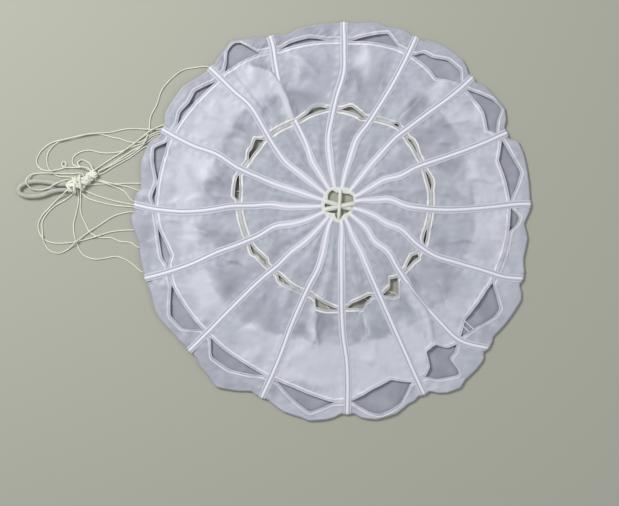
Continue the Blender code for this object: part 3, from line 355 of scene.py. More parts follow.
# patches where the cloth lies double or touches what is under it, lighter, or painted shade
# where it stands off it or lies beside a fold, darker: middle x, y from the vent, half length,
# half width, turn, change of tone
TONE_AND_SHADE_CLOUDS = (
    (-73, 107, 17, 12, 30, 0.45), (-62, 94, 11, 6, 45, -0.6), (-88, 84, 8, 5, 0, -0.25),
    (-97, 62, 11, 7, 60, -0.5), (-108, 84, 20, 9, 40, 0.3), (-138, 37, 15, 12, 80, 0.3),
    (-143, 12, 16, 10, 90, 0.45), (-122, 17, 8, 5, 80, -0.35), (-104, 26, 13, 7, 75, -0.35),
    (-33, 117, 16, 6, 8, -0.3), (-32, 106, 15, 3, 8, 0.25), (-34, 95, 14, 5, 15, -0.5),
    (-40, 58, 12, 8, 60, -0.2), (-62, 17, 14, 4, -25, -0.35), (20, 133, 13, 9, 0, 0.35),
    (15, 114, 15, 8, 0, -0.35), (41, 107, 15, 3, 80, -0.4), (86, 102, 15, 7, 40, 0.5),
    (72, 89, 13, 6, 50, -0.5), (97, 77, 10, 7, 30, -0.35), (111, 82, 14, 8, 50, 0.3),
    (81, 63, 14, 8, 50, -0.3), (128, 84, 12, 6, 55, 0.3), (99, 35, 12, 6, 25, -0.4),
    (118, 22, 17, 5, 90, 0.45), (135, 14, 12, 6, 90, 0.25), (10, 60, 20, 12, 80, -0.2),
    (57, 1, 16, 4, -20, -0.35), (-140, -30, 16, 8, 70, 0.35), (-120, -30, 11, 4, -40, -0.5),
    (-104, -32, 9, 8, 0, -0.35), (-121, -43, 12, 6, 20, 0.25), (-126, -70, 16, 11, 110, 0.35),
    (-100, -69, 16, 13, 130, -0.3), (-115, -87, 14, 8, 130, 0.3), (-83, -101, 12, 9, 0, -0.2),
    (-76, -117, 17, 7, 150, 0.45), (-36, -116, 9, 6, 0, -0.45), (-35, -129, 6, 6, 0, 0.45),
    (-24, -113, 17, 3, 100, 0.4), (-15, -104, 8, 7, 0, -0.5), (-6, -131, 9, 8, 0, 0.35),
    (-22, -64, 9, 6, 80, -0.3), (63, -94, 10, 8, 100, -0.45), (16, -109, 13, 6, 90, -0.4),
    (24, -114, 13, 2, 90, 0.6), (35, -108, 10, 7, 90, -0.3), (41, -129, 14, 5, 5, 0.5),
    (58, -114, 7, 4, 100, 0.45), (79, -106, 19, 4, 100, 0.35), (105, -73, 14, 10, 60, -0.4),
    (87, -54, 12, 4, -15, -0.3), (130, -24, 9, 5, 90, 0.55), (119, -47, 4, 3, 0, 0.5),
    (101, -31, 15, 8, 10, -0.3), (44, -58, 13, 9, 60, -0.2), (26, -81, 9, 6, 0, -0.25),
    (-42, -170, 30, 10, -12, -0.5), (-176, -30, 25, 9, 85, -0.4), (-150, 90, 24, 8, 55, 0.15),
    (20, 157, 32, 8, 0, 0.25), (158, -62, 26, 8, 75, 0.1), (95, -165, 22, 9, 35, 0.2),
    (72, -91, 14, 5, -50, 0.4), (67, -70, 5, 3, -50, -0.5),
)

# --- hems, tapes and ties ---
HEM_ROWS = np.array([0, 0.4, 0.85, 1.2, 1.45, 1.75, 2.1, 2.5, 2.9, 3.3, 3.65, 4.1])
TAPE_RIBS = {5: -0.5, 6: -1.0, 7: -0.3, 9: -0.4, 14: 0.4}   # tape, how far its rib is off
TAPE_DIPS = ((6, 88, 124),)             # tape, and radii between which cloth covers it
TAPE_HALF_HIDDEN = ((15, 100, 127),)    # the same where only its rib shows
TIES = ((315.6, 156, 167), (317.2, 156.5, 168))     # bars over a slot: bearing and two ends
FAINT_HEMS = (          # hem, bearings between which it shows less, what is left of it
    ("ring inner", 52, 66, 0.45), ("ring inner", 97, 110, 0.25), ("ring inner", 234, 247, 0.4),
    ("ring inner", 279, 307, 0.35), ("ring outer", -9, 369, 0.75), ("ring outer", 38, 52, 0.2),
    ("ring outer", 113, 126, 0.5), ("ring outer", 280, 322, 0.5), ("skirt inner", -9, 369, 0.6),
    ("skirt inner", 84, 112, 0.7), ("skirt inner", 130, 190, 0.75),
    ("skirt inner", 204, 218, 0.7), ("skirt inner", 248, 262, 0.7),
    ("skirt inner", 285, 350, 0.7), ("crown outer", 250, 262, 0.6),
    ("crown outer", 325, 335, 0.6),
)
SKIRT_PAINTED_SHADE = (        # bearing, and the painted shade that makes the skirt darker than the ring beside it, most where it faces the key light
    (0, 0.15), (35, 0.3), (60, 0.15), (85, 0.3), (120, 0.45), (150, 0.8), (168, 0.5),
    (185, 0.1), (200, 0.2), (225, 0.3), (255, 0.35), (300, 0.3), (330, 0.2), (350, 0.25),
)
KNOT_STRANDS = (        # each strand's diameter, turns, phase, share of the half width
    (3.4, 0.9, 0.3, 0.85), (3.2, 1.1, 2.3, 0.9), (3.0, 1.0, 4.3, 0.9), (2.4, 1.9, 1.2, 1.0),
    (2.4, 1.7, 3.4, 1.0), (2.2, 2.2, 5.3, 1.0), (4.6, 0.4, 0.0, 0.2),
)
KNOT_TURNS = (          # turns round the knot: place along it, lean, diameter
    (0.56, 2.4, 2.0), (0.66, -2.0, 1.8), (0.74, 2.6, 1.9), (0.20, -1.8, 1.4), (0.30, 1.6, 1.4),
)
VENT_TUCK = 1.0                         # the crown and the tapes run this far into the binding

# --- stage, and the cloth's flat sizes ---
FLOOR_LEVEL = -0.12                     # height of the floor, just under the parachute
FLOOR_REACH = 8.0                       # metres from the middle of the floor to its sides
SKY, SKY_STRENGTH = "#F2F4FA", 0.4
LIGHTS = (              # name, place and width in metres, power in watts
    ("key", (-0.75, 0.65, 1.1), 0.55, 16.5),
    ("fill", (1.1, -0.5, 1.2), 1.2, 4.0),
)
CAMERA_AT = (-20.0, -29.3)              # where it stands over the floor


# --- shapes worked out from the tables ---
def ease(value, low, high):
    """0 below low, 1 above high, and a smooth step between."""
    t = np.clip((np.asarray(value, float) - low) / (high - low), 0, 1)
    return t * t * (3 - 2 * t)


def within(value, start, end, rise, fall):
    """1 from start to end and 0 outside. Rise and fall are half its smooth steps' widths."""
    return ease(value, start - rise, start + rise) * (1 - ease(value, end - fall, end + fall))


def bell(value, middle, reach):
    """Exponential of minus the square of the distance from the middle over the reach."""
    return np.exp(-((value - middle) / reach) ** 2)


def smooth(knots, values, at):
    """Cubic through the values, whose slope at a knot follows its two neighbours."""
    knots, values = np.asarray(knots, float), np.asarray(values, float)
    slopes = np.gradient(values, knots, axis=0)
    i = np.clip(np.searchsorted(knots, at, side="right") - 1, 0, len(knots) - 2)
    width = knots[i + 1] - knots[i]
    t = (at - knots[i]) / width
    if values.ndim == 2:
        width, t = width[:, None], t[:, None]
    rise = t * t * (3 - 2 * t)
    return (values[i] * (1 - rise) + values[i + 1] * rise
            + slopes[i] * width * t * (1 - t) ** 2
            - slopes[i + 1] * width * t * t * (1 - t))


def outline(table, bearing):
    """Radius of a closed outline at a bearing, straight between the table's turns."""
    turns = sorted(table)
    return np.interp(np.asarray(bearing) % 360, [b for b, r in turns],
                     [r for b, r in turns], period=360)


def slot_edges(slot, bearing):
    """Radii of a slot's near and far edges. They meet wherever there is no opening."""
    bearing = np.asarray(bearing, float) % 360
    seam = outline([far[k] for far, near in slot for k in (0, -1)], bearing)
    inner, outer = seam - SLOT_SEAM / 2, seam + SLOT_SEAM / 2
    for far, near in slot:
        inside = (bearing > far[0][0]) & (bearing < far[-1][0])
        near = (far[0],) + near + (far[-1],)
        far_edge = np.interp(bearing, *zip(*far))
        near_edge = np.interp(bearing, *zip(*near))
        outer = np.where(inside, np.maximum(outer, far_edge), outer)
        inner = np.where(inside, np.minimum(inner, near_edge), inner)
    return inner, outer


def from_rims(bearing):
    """Bearing from each tape's end at the rim, between -180 and 180 degrees."""
    rims = np.array([row[-1] for row in TAPES])
    return (np.asarray(bearing, float)[..., None] - rims + 180) % 360 - 180


def rim_radius(bearing):
    """Radius of the rim, which runs straight across under each tape."""
    bearing = np.asarray(bearing, float) % 360
    away = from_rims(bearing)
    nearest = np.take_along_axis(away, np.abs(away).argmin(-1)[..., None], -1)[..., 0]
    return outline(RIM, bearing - nearest * (1 - ease(np.abs(nearest), *TAPE_BUMP)))


def tape_bearings():
    """Each tape's bearing at each of RADII, then the first tape again a turn later."""
    rows = []
    for row in TAPES:
        rim = max(float(rim_radius(row[-1])), TAPE_RADII[-1] + PAST_LAST)
        rows.append(smooth(TAPE_RADII + (rim,), row, np.clip(RADII, TAPE_RADII[0], rim)))
    return np.array(rows + [rows[0] + 360])


TAPE_PATHS = tape_bearings()


def gore_bearings(u, radius):
    """Bearings of the tapes at the two sides of gore coordinate u, and u's share."""
    u = np.asarray(u, float) % GORES
    gore = np.floor(u).astype(int)
    low = np.clip(np.floor(radius).astype(int), 0, len(RADII) - 2)
    part = np.clip(radius - low, 0, 1)
    here = TAPE_PATHS[gore, low] * (1 - part) + TAPE_PATHS[gore, low + 1] * part
    after = TAPE_PATHS[gore + 1, low] * (1 - part) + TAPE_PATHS[gore + 1, low + 1] * part
    return here, after, u - gore


def gore_bearing(u, radius):
    """Bearing of gore coordinate u, which is whole on a tape and runs evenly between."""
    here, after, share = gore_bearings(u, radius)
    return here + (after - here) * share


def polar(bearing, radius):
    """x and y of a bearing and radius round the vent."""
    angle = np.radians(bearing)
    return np.stack([VENT_X + radius * np.cos(angle), VENT_Y + radius * np.sin(angle)], -1)


def lift_over_lines(bearing):
    """How far the cloth is lifted over the lines that run out under its left side."""
    b = np.asarray(bearing, float) % 360
    return LINE_RAISE * ease(b, *LIFTED[:2]) * (1 - ease(b, *LIFTED[2:]))


def lower_height(bearing):
    """Middle of the lower layer: flat on the floor, up over the tapes and the lines."""
    over_tape = 1 - ease(np.abs(from_rims(bearing)).min(axis=-1), *TAPE_BUMP)
    return CLOTH_SPACE / 2 + lift_over_lines(bearing) + TAPE_RAISE * over_tape


def upper_height(u, radius):
    """Middle of the upper cloth: level beside the tapes, billowed between them.

    Across a gore a billow is the square of a half turn's sine, with a little of a whole
    turn's sine to lean it to one side.
    """
    here, after, share = gore_bearings(u, radius)
    rise = (OUTER_HEIGHT - CROWN_HEIGHT) * ease(radius, *CROWN_RISE)
    lifted = lift_over_lines(here + (after - here) * share) * ease(radius, *LINE_RISE)
    gore = np.floor(np.asarray(u, float) % GORES).astype(int)
    ring, skirt = np.array(BILLOW)[gore].T
    amount = ring.T + (skirt - ring).T * ease(radius, *SKIRT_BILLOW)
    flat = TAPE_SIDE / (np.radians(after - here) * radius)
    across = np.clip((share - flat) / np.maximum(1 - 2 * flat, 0.01), 0, 1)
    leaning = 1 + BILLOW_LEAN * np.sin(2 * np.pi * across + gore)
    shape = np.sin(np.pi * across) ** 2 * leaning
    return CROWN_HEIGHT + rise + lifted + amount * ease(radius, *CROWN_BILLOW) * shape


# --- sizes and colours that a user may change ---
def linear(code):
    """Linear colour and full alpha of an sRGB hex code."""
    channels = np.array([int(code[at:at + 2], 16) for at in (1, 3, 5)]) / 255
    curve = ((channels + 0.055) / 1.055) ** 2.4
    return (*np.where(channels <= 0.04045, channels / 12.92, curve).tolist(), 1.0)


def size(name, description, metres):
    """A length that a user may change."""
    return FloatProperty(name=name, description=description, default=metres, min=0.0,
                         unit="LENGTH", precision=5)


def colour(name, description, code):
    """A colour that a user may change."""
    return FloatVectorProperty(name=name, description=description, size=4, min=0, max=1,
                               subtype="COLOR", default=linear(code))


class ParachuteCloth(bpy.types.PropertyGroup):
    """The three rings of cloth."""
    thickness: size("Thickness", "Thickness of the cloth as it is drawn", 0.00045)
    hem_rise: size("Hem rise", "How much thicker the folded hems are", 0.00032)
    seam_depth: size("Seam depth", "How deep the stitching pulls in the hems", 0.00022)
    ripple: size("Ripple", "Height of the cloth's broad unevenness", 0.0008)
    pucker: size("Pucker", "Height of the gathers beside tapes and hems", 0.00042)
    single: colour("One layer", "Cloth with nothing behind it", "#ADAFBA")
    double: colour("Two layers", "Cloth over the turned under layer", "#CBCCD6")
    # painted shade: this grey is darker than one layer of cloth, for the shade that the upper
    # layers cast on the turned under layer
    lower: colour("Lower layer", "The turned under layer, seen in a slot", "#91929C")
    hem: colour("Hem", "The ridge over the cord in a hem", "#F0EFF7")


class ParachuteTapes(bpy.types.PropertyGroup):
    """The radial tapes, the vent's tapes and its binding."""
    thickness: size("Thickness", "Thickness of a tape", 0.00035)
    rib: size("Rib", "Height of the rib along a tape's middle", 0.0004)
    thread: size("Thread", "Thickness of the sewing thread", 0.0003)
    weave: colour("Tape", "Woven tape", "#E9E9F1")
    binding: colour("Binding", "Binding and tapes of the vent", "#DCDED5")


class ParachuteCords(bpy.types.PropertyGroup):
    """The suspension lines, the knot and the riser loop."""
    line: size("Line", "Diameter of a suspension line", 0.0012)
    riser: size("Riser", "Diameter of the riser loop", 0.0044)
    lay: size("Lay", "Length of one turn of a line's strands", 0.0042)
    cord: colour("Line", "Twisted line", "#E8EADC")
    braid: colour("Riser", "Braided riser", "#B7BAAD")


class ParachuteStage(bpy.types.PropertyGroup):
    """Floor, lights and camera."""
    camera_height: size("Camera height", "Camera above the floor", 1.0)
    view_width: size("View width", "Width of floor that the camera sees", 0.5695)
    floor: colour("Floor", "Pale painted board", "#ACAD9F")


# --- meshes ---
SHARP_EDGE = np.radians(50)
ROUND_ONCE = 1000.0                # length of pattern for one turn round a cord


def patch(points, uv, round_rows=False, round_across=False, values=None):
    """Quads between neighbours in an (n, k) grid of points.

    A round direction also joins its last to its first. A tube, round across and not along,
    gets a cap at each end. uv is one entry longer in a round direction, so that a pattern
    runs on to the seam. The faces point outwards: where the signed volume of the pyramids
    from the origin to each face comes out negative, all corners are taken the other way.
    """
    n, k = points.shape[:2]
    i, j = np.meshgrid(np.arange(n - (not round_rows)), np.arange(k - (not round_across)),
                       indexing="ij")
    steps = ((0, 0), (1, 0), (1, 1), (0, 1))
    quads = np.stack([(i + a) % n * k + (j + b) % k for a, b in steps], -1).reshape(-1, 4)
    corners = np.stack([uv[i + a, j + b] for a, b in steps], 2).reshape(-1, 4, 2)
    flat = points.reshape(-1, 3)
    ends = np.array([[*range(k)], [*range((n - 1) * k, n * k)][::-1]])
    ends = ends if round_across and not round_rows else ends[:0]
    a, b, c, d = (flat[quads[:, side]] for side in range(4))
    volume = (a * (np.cross(b, c) + np.cross(c, d))).sum()
    if volume < 0:
        quads, corners, ends = quads[:, ::-1], corners[:, ::-1], ends[:, ::-1]
    values = {name: np.broadcast_to(grid, (n, k)).ravel() for name, grid in
              (values or {}).items()}
    return flat, quads, corners.reshape(-1, 2), ends, values


def build_mesh(name, patches, shader):
    """One object from several patches, smooth but for its sharp edges."""
    starts = np.cumsum([0] + [len(p[0]) for p in patches])
    points = np.concatenate([p[0] for p in patches]) * MM
    quads = np.concatenate([p[1] + at for p, at in zip(patches, starts)])
    corners = [np.concatenate([p[2] for p in patches])]
    ends = [end + at for p, at in zip(patches, starts) for end in p[3]]
    loops = np.concatenate([quads.ravel(), *ends])
    sizes = np.array([4] * len(quads) + [len(end) for end in ends])
    corners.append(np.zeros((len(loops) - len(quads) * 4, 2)))
    data = bpy.data.meshes.new(name)
    data.vertices.add(len(points))
    data.vertices.foreach_set("co", points.ravel())
    data.loops.add(len(loops))
    data.loops.foreach_set("vertex_index", loops)
    data.polygons.add(len(sizes))
    data.polygons.foreach_set("loop_start", np.cumsum(sizes) - sizes)
    data.polygons.foreach_set("use_smooth", np.ones(len(sizes), bool))
    data.update(calc_edges=True)
    uv = data.uv_layers.new(name="pattern")
    uv.data.foreach_set("uv", (np.concatenate(corners) * MM).ravel())
    for label in patches[0][4]:
        layer = data.attributes.new(label, "FLOAT", "POINT")
        layer.data.foreach_set("value", np.concatenate([p[4][label] for p in patches]))
    data.set_sharp_from_angle(angle=SHARP_EDGE)
    data.validate()
    made = bpy.data.objects.new(name, data)
    bpy.context.scene.collection.objects.link(made)
    data.materials.append(shader)
    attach(made, "root")
    return made


def piece(name, node, patches, shader):
    """An object that stands for a node of the packed model, in its material slot."""
    made = build_mesh(name, patches, shader)
    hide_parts(node)
    return made


def unit(vectors):
    """The same directions at length 1."""
    return vectors / np.maximum(np.linalg.norm(vectors, axis=-1, keepdims=True), 1e-9)


def turns_round(sides):
    """Angles of the points round a cord."""
    return np.arange(sides) * 2 * np.pi / sides


def tube(centre, radius, sides, values=None):
    """Round cord: centre (n, 3) carries circles across it, with one side kept level.

    radius is a number or an (n, sides) grid.
    """
    along = unit(np.gradient(centre, axis=0))
    level = unit(np.cross(along, (0.0, 0.0, 1.0)))
    up = np.cross(level, along)
    angle = turns_round(sides)
    ring = (level[:, None] * np.cos(angle)[:, None] + up[:, None] * np.sin(angle)[:, None])
    points = centre[:, None] + ring * np.broadcast_to(radius, ring.shape[:2])[..., None]
    reach = lengths(centre)
    around = np.arange(sides + 1) / sides
    uv = np.stack(np.broadcast_arrays(reach[:, None], around * ROUND_ONCE), -1)
    return patch(points, uv, round_across=True, values=values)


def lengths(points):
    """Distance along a route, at each of its points."""
    return np.append(0, np.cumsum(np.linalg.norm(np.diff(points, axis=0), axis=1)))


# --- cloth ---
WAVES = {               # shortest and longest wave, how many, seed and height
    "ripple": (20, 75, 34, 5, 0.75), "trough": (24, 60, 20, 8, 0.8),
    "fine ripple": (7, 16, 24, 3, 0.16),
    "fold x": (14, 40, 16, 21, 0.7), "fold y": (14, 40, 16, 22, 0.7),
    "cloud x": (12, 40, 16, 21, 2.2), "cloud y": (12, 40, 16, 22, 2.2),
    "tone": (10, 50, 24, 23, 0.06), "fine tone": (5, 14, 24, 24, 0.025),
    "lower tone": (9, 40, 20, 31, 0.08),
}
GATHERS = {             # pitch, drift of its phase and in what length, its bell's middle, reach
    "tape": (8.3, 1.5, 11, 6.2, 2.3), "scallop": (9.1, 1.8, 23, 4.5, 4),
    "streak": (6.7, 2.6, 14, 9, 7),
}


def waves(plan, kind):
    """Smooth random heights: a sum of plane waves of many directions."""
    shortest, longest, count, seed, height = WAVES[kind]
    draw = np.random.default_rng(seed)
    total = np.zeros(plan.shape[:-1])
    for _ in range(count):
        length = shortest * (longest / shortest) ** draw.random()
        angle, phase = draw.random(2) * 2 * np.pi
        direction = np.array([np.cos(angle), np.sin(angle)]) * 2 * np.pi / length
        total += np.sin(plan[..., 0] * direction[0] + plan[..., 1] * direction[1] + phase)
    return total / np.sqrt(count / 2) * height


def sway(plan, kind):
    """How far waves move a place, in x and in y."""
    return np.stack([waves(plan, kind + axis) for axis in (" x", " y")], -1)


def gathers(kind, along, away, phase=0.0):
    """Sine along a tape or a hem, whose phase drifts by a slower sine, under a bell."""
    pitch, drift, over, middle, reach = GATHERS[kind]
    wave = np.sin(2 * np.pi * along / pitch + drift * np.sin(along / over) + phase)
    return wave * bell(away, middle, reach)


FOLD_END = 3.5                     # half the stretch over which a fold's end fades
FOLD_POWER = 1.5                   # in its fall beside the crest
FOLD_PAINTED_SHADING, FOLD_PAINTED_LIGHT = 0.42, 0.5  # painted shading at 1 mm, and the share of it that is painted light on the lighter side
FOLD_SHADE = 4.0                   # how far the painted shadow reaches beyond a fold 1 mm high
PAINTED_SHADOW_FROM = (0.2, 2.0)             # distances from the crest over which the painted shadow grows


def fold_shapes(plan, folds):
    """Heights and painted shading of folds: each is a crest along a line that falls off beside
    it.

    At distance d from the line, to a side with reach w, the height is the fold's times
    exp(-(d / w) ** FOLD_POWER), and it fades at the ends of the line. The nearest
    stretch of the line tells the distance and the side. The gentle side is painted lighter,
    partly for the cloth that lies close and double there and partly as painted light, and
    beyond the steep side a painted shadow darkens the cloth for FOLD_SHADE times the height.
    """
    height, shade = np.zeros((2,) + plan.shape[:-1])
    for turns, top, left, right in folds:
        points = np.array([polar(*turn) for turn in turns])
        runs = np.diff(points, axis=0)
        long = np.linalg.norm(runs, axis=1)
        away = plan[..., None, :] - points[:-1]
        along = np.clip((away * runs).sum(-1) / long, 0, long)
        apart = np.linalg.norm(away - runs * (along / long)[..., None], axis=-1)
        side = away[..., 1] * runs[:, 0] - away[..., 0] * runs[:, 1]
        nearest = apart.argmin(-1)[..., None]
        apart, side, along = (np.take_along_axis(grid, nearest, -1)[..., 0]
                              for grid in (apart, side, along + np.cumsum(long) - long))
        crest = top * within(along, FOLD_END, long.sum() - FOLD_END, FOLD_END, FOLD_END)
        height += crest * np.exp(-(apart / np.where(side > 0, left, right)) ** FOLD_POWER)
        # painted shadow beyond the steep side, and painted light on the gentle side
        dark = -ease(apart, *PAINTED_SHADOW_FROM) * bell(apart, 0, FOLD_SHADE * top)
        light = FOLD_PAINTED_LIGHT * bell(apart, 0, max(left, right))
        shade += FOLD_PAINTED_SHADING * crest * np.where((side > 0) == (left > right), light, dark)
    return height, shade


FREE_OF_TAPE = (4, 12)             # distances from a tape over which cloth gets loose
FREE_OF_VENT = (20, 36)            # and radii over which it does
GATHERED = (24, 36)                # radii over which gathers begin
GATHER_SHIFT = (2.1, 1.7)          # change of phase over a tape, and from tape to tape
MID_GORE = 4.0                     # a tape's gathers end this near to a gore's middle
SCALLOP_HEIGHT = 0.6               # over that of the gathers beside a tape
STREAK_SLANT = 19.0                # a streak's phase turns by a radian over this radius
STREAKED = (4, 9)                  # distances from a tape over which streaks begin
LOWEST = -0.7                      # the cloth sinks no further than this
GATHER_PAINTED_SHADE, STREAK_PAINTED_SHADE, RIPPLE_PAINTED_SHADE = 0.09, 0.04, 0.05    # painted shade: change of tone at height 1, lighter on crests and darker in troughs


def cloth_relief(cloth, u, radius, edge):
    """Height of the cloth's own unevenness, which is held down at the tapes, and its painted
    shading.

    A broad ripple of plane waves and of their folded-up troughs, the gathers that run out
    from tapes and hems, and the folds. No part sinks below LOWEST, towards which the
    height falls off by an exponential. The painted shading lights the crests and darkens the
    troughs of the ripple and the gathers, and adds the folds' painted light and shadow. Beside
    the hems, where the mesh has no gathers, it paints streaks of light and shade.
    """
    plan = polar(gore_bearing(u, radius), radius)
    here, after, share = gore_bearings(u, radius)
    width = np.radians(after - here) * radius
    away = np.minimum(share, 1 - share) * width
    free = ease(away, *FREE_OF_TAPE) * ease(radius, *FREE_OF_VENT)
    broad = waves(plan, "ripple") - np.abs(waves(plan, "trough"))
    phase = np.where(np.asarray(u) % 1 > 0.5, GATHER_SHIFT[0], 0) + np.round(u) * GATHER_SHIFT[1]
    run = np.asarray(u) * 2 * np.pi / GORES * radius
    gather = gathers("tape", radius, away, phase) * ease(width / 2 - away, 0, MID_GORE)
    scallop = SCALLOP_HEIGHT * gathers("scallop", run, edge) * free
    streak = gathers("streak", run, edge, radius / STREAK_SLANT) * ease(away, *STREAKED)
    pucker = ease(radius, *GATHERED) * (gather + scallop)
    bent = plan + sway(plan, "fold")
    folds, shade = fold_shapes(bent, FOLDS)
    relief = free * (cloth.ripple / MM * (broad + waves(plan, "fine ripple")) + folds)
    relief = relief + cloth.pucker / MM * pucker
    soft = LOWEST - LOWEST / 2 * np.exp(np.minimum(1 - 2 * relief / LOWEST, 0))
    relief = np.where(relief < LOWEST / 2, soft, relief)
    over, over_shade = fold_shapes(bent, FOLDS_OVER_TAPES)
    # painted shading: tone that follows the folds, the gathers, the streaks and the ripple
    return relief + over, (shade * free + over_shade + GATHER_PAINTED_SHADE * pucker
                           + STREAK_PAINTED_SHADE * streak + RIPPLE_PAINTED_SHADE * free * broad)


HEM_GROOVE, HEM_RIDGE = (1.45, 0.25), (2.9, 0.6)    # its seam and cord: middle, reach
HEM_CLOTH, HEM_END = 0.5, (3.3, 4.0)    # rise of its folded cloth, and where that ends
HEM_SPREAD = 2.3                   # a ring narrower than this many hems has closer rows
ROWS_BETWEEN = 27                  # a ring's rows between its two hems
CLOSING_IN = 4                     # rounds for an edge that is known by bearing
WARM_HEMS = (92, 108)              # radii over which hems lose their cream


def hem_profile(cloth, edge):
    """Thickness at a distance from a hem's edge.

    It is thick over the hem's width, thicker by a bell over the cord in it, and drawn in
    by a narrower bell at the seam.
    """
    rise = HEM_CLOTH * (1 - ease(edge, *HEM_END)) + bell(edge, *HEM_RIDGE)
    seam = bell(edge, *HEM_GROOVE)
    return cloth.thickness / MM + cloth.hem_rise / MM * rise - cloth.seam_depth / MM * seam


def hem_spaced(inner, outer):
    """Radii of rows from one edge to the other: close in both hems, even between them."""
    squeeze = np.minimum(1, (outer - inner) / (HEM_SPREAD * HEM_ROWS[-1]))[:, None]
    near = inner[:, None] + HEM_ROWS * squeeze
    far = outer[:, None] - HEM_ROWS[::-1] * squeeze
    share = np.linspace(0, 1, ROWS_BETWEEN + 2)[1:-1]
    middle = near[:, -1:] + (far[:, :1] - near[:, -1:]) * share
    return np.concatenate([near, middle, far], axis=1)


def soften(edge, passes):
    """An edge's radii, each taken with a quarter of its neighbours', several times."""
    for _ in range(passes):
        edge = edge / 2 + (np.roll(edge, 1) + np.roll(edge, -1)) / 4
    return edge


def edge_radii(u, edge, passes=2):
    """Radius of an edge on each column, closed in on because it is known by bearing."""
    radius = np.full(len(u), HEM_RADIUS)
    for _ in range(CLOSING_IN):
        radius = edge(gore_bearing(u, radius))
    return soften(radius, passes)


def shell(u, middle, thick, tone, edge, show):
    """Closed cloth: middle (columns, rows, 3) pushed out and in by half its thickness.

    The push is along the normal, the cross product of the steps along a row and a column.
    Rows run out on the upper side and back on the lower, and columns run round the vent.
    The pattern is the cloth seen from above, turned with each gore, whose cut is its own.
    """
    across = np.roll(middle, -1, 0) - np.roll(middle, 1, 0)
    outward = np.gradient(middle, axis=1)
    normal = unit(np.cross(outward, across)) * thick[..., None] / 2
    both = [np.concatenate([grid, other[:, ::-1]], 1) for grid, other in (
        (middle + normal, middle - normal), (tone, tone), (edge, edge), (show, show))]
    points, tone, edge, show = both
    reach = np.linalg.norm(points[..., :2] - (VENT_X, VENT_Y), axis=-1)
    warm = 1 - ease(reach, *WARM_HEMS)
    plan = np.pad(points[..., :2], ((0, 1), (0, 1), (0, 0)), mode="wrap")
    gore = np.radians(np.floor(np.append(u, 0.0)) * -360 / GORES)[:, None]
    uv = np.stack([plan[..., 0] * np.cos(gore) - plan[..., 1] * np.sin(gore),
                   plan[..., 0] * np.sin(gore) + plan[..., 1] * np.cos(gore)], -1)
    return patch(points, uv, True, True,
                 {"tone": tone, "edge": edge, "warm": warm, "show": show})


COLUMNS = {"crown": 44, "ring": 60, "skirt": 60}    # to a gore
ONE_LAYER = 0.5                    # tone of one layer of cloth
CLOUD_TONE = 0.75                  # share of the changes in TONE_AND_SHADE_CLOUDS
LAYER_END = 1.5                    # half the stretch over which a layer's end shows
TAPE_VEIL = 0.4                    # how much lighter cloth looks over a tape
VEIL_SIDES, VEIL_END = (2.8, 3.6), 2.0  # where that fades beside the tape, and along it
FAINT_END = 2.0                    # half the stretch over which a hem gets faint
BOUND_EDGE = 9.0                   # a bound edge looks as cloth does this far from a hem
DARKEST, SKIRT_DARKEST = 0.03, 0.02     # tones go no lower


def gore_columns(name):
    """Gore coordinates of a ring's evenly spaced columns."""
    return np.arange(GORES * COLUMNS[name]) / COLUMNS[name]


def tone_seen(u, radius):
    """ONE_LAYER, more where the lower layer lies behind the cloth, and the clouds, whose darker
    ones are painted shade.

    A cloud at distance d from its middle, counted in its half lengths, adds its tone times
    1 / (1 + d ** 6), so that it is even inside and has a soft edge. Waves bend its edge.
    """
    bearing = gore_bearing(u, radius)
    plan = polar(bearing, radius)
    seen, step = (outline([(row[0], row[at]) for row in HEM_SEEN], bearing) for at in (1, 2))
    bend = sway(plan, "cloud")
    tone = ONE_LAYER + step * ease(radius - seen + bend[..., 0] / 2, -LAYER_END, LAYER_END)
    for x, y, long, wide, turn, change in TONE_AND_SHADE_CLOUDS:
        away = plan + bend - (VENT_X + x, VENT_Y + y)
        along, aside = np.cos(np.radians(turn)), np.sin(np.radians(turn))
        apart = (((away[..., 0] * along + away[..., 1] * aside) / long) ** 2
                 + ((away[..., 1] * along - away[..., 0] * aside) / wide) ** 2)
        tone = tone + CLOUD_TONE * change / (1 + apart ** 3)
    for covered, near, far in TAPE_DIPS:
        away = np.abs(np.asarray(u) - (covered - 1)) * np.radians(360 / GORES) * radius
        tone = tone + (TAPE_VEIL * (1 - ease(away, *VEIL_SIDES))
                       * within(radius, near, far, VEIL_END, VEIL_END))
    return tone + waves(plan, "tone") + waves(plan, "fine tone")


def hem_shows(name, bearing):
    """How clearly a hem shows: 1, but less over each stretch of FAINT_HEMS."""
    show = 1.0 + 0 * bearing
    for hem, start, end, left in FAINT_HEMS:
        if hem == name:
            show = show * (1 - (1 - left) * within(bearing % 360, start, end, FAINT_END,
                                                   FAINT_END))
    return show


def flat_ring(cloth, name, inner, outer, bound=False):
    """A ring of cloth in one layer between two edges, with a hem along both.

    Where the inner edge is bound instead, it has no hem.
    """
    u = gore_columns(name)
    radii = hem_spaced(edge_radii(u, inner), edge_radii(u, outer))
    column = u[:, None] + 0 * radii
    near, far = radii - radii[:, :1], radii[:, -1:] - radii
    edge = np.minimum(near + BOUND_EDGE * bound, far)
    relief, shade = cloth_relief(cloth, column, radii, edge)
    bearing = gore_bearing(column, radii)
    height = upper_height(column, radii) + relief
    middle = np.concatenate([polar(bearing, radii), height[..., None]], -1)
    # the relief's painted shade and light are added to the cloth's tone
    tone = np.clip(tone_seen(column, radii) + shade, DARKEST, 1)
    show = np.where(near < far, hem_shows(name + " inner", bearing),
                    hem_shows(name + " outer", bearing))
    return shell(u, middle, hem_profile(cloth, edge), tone, edge, show)


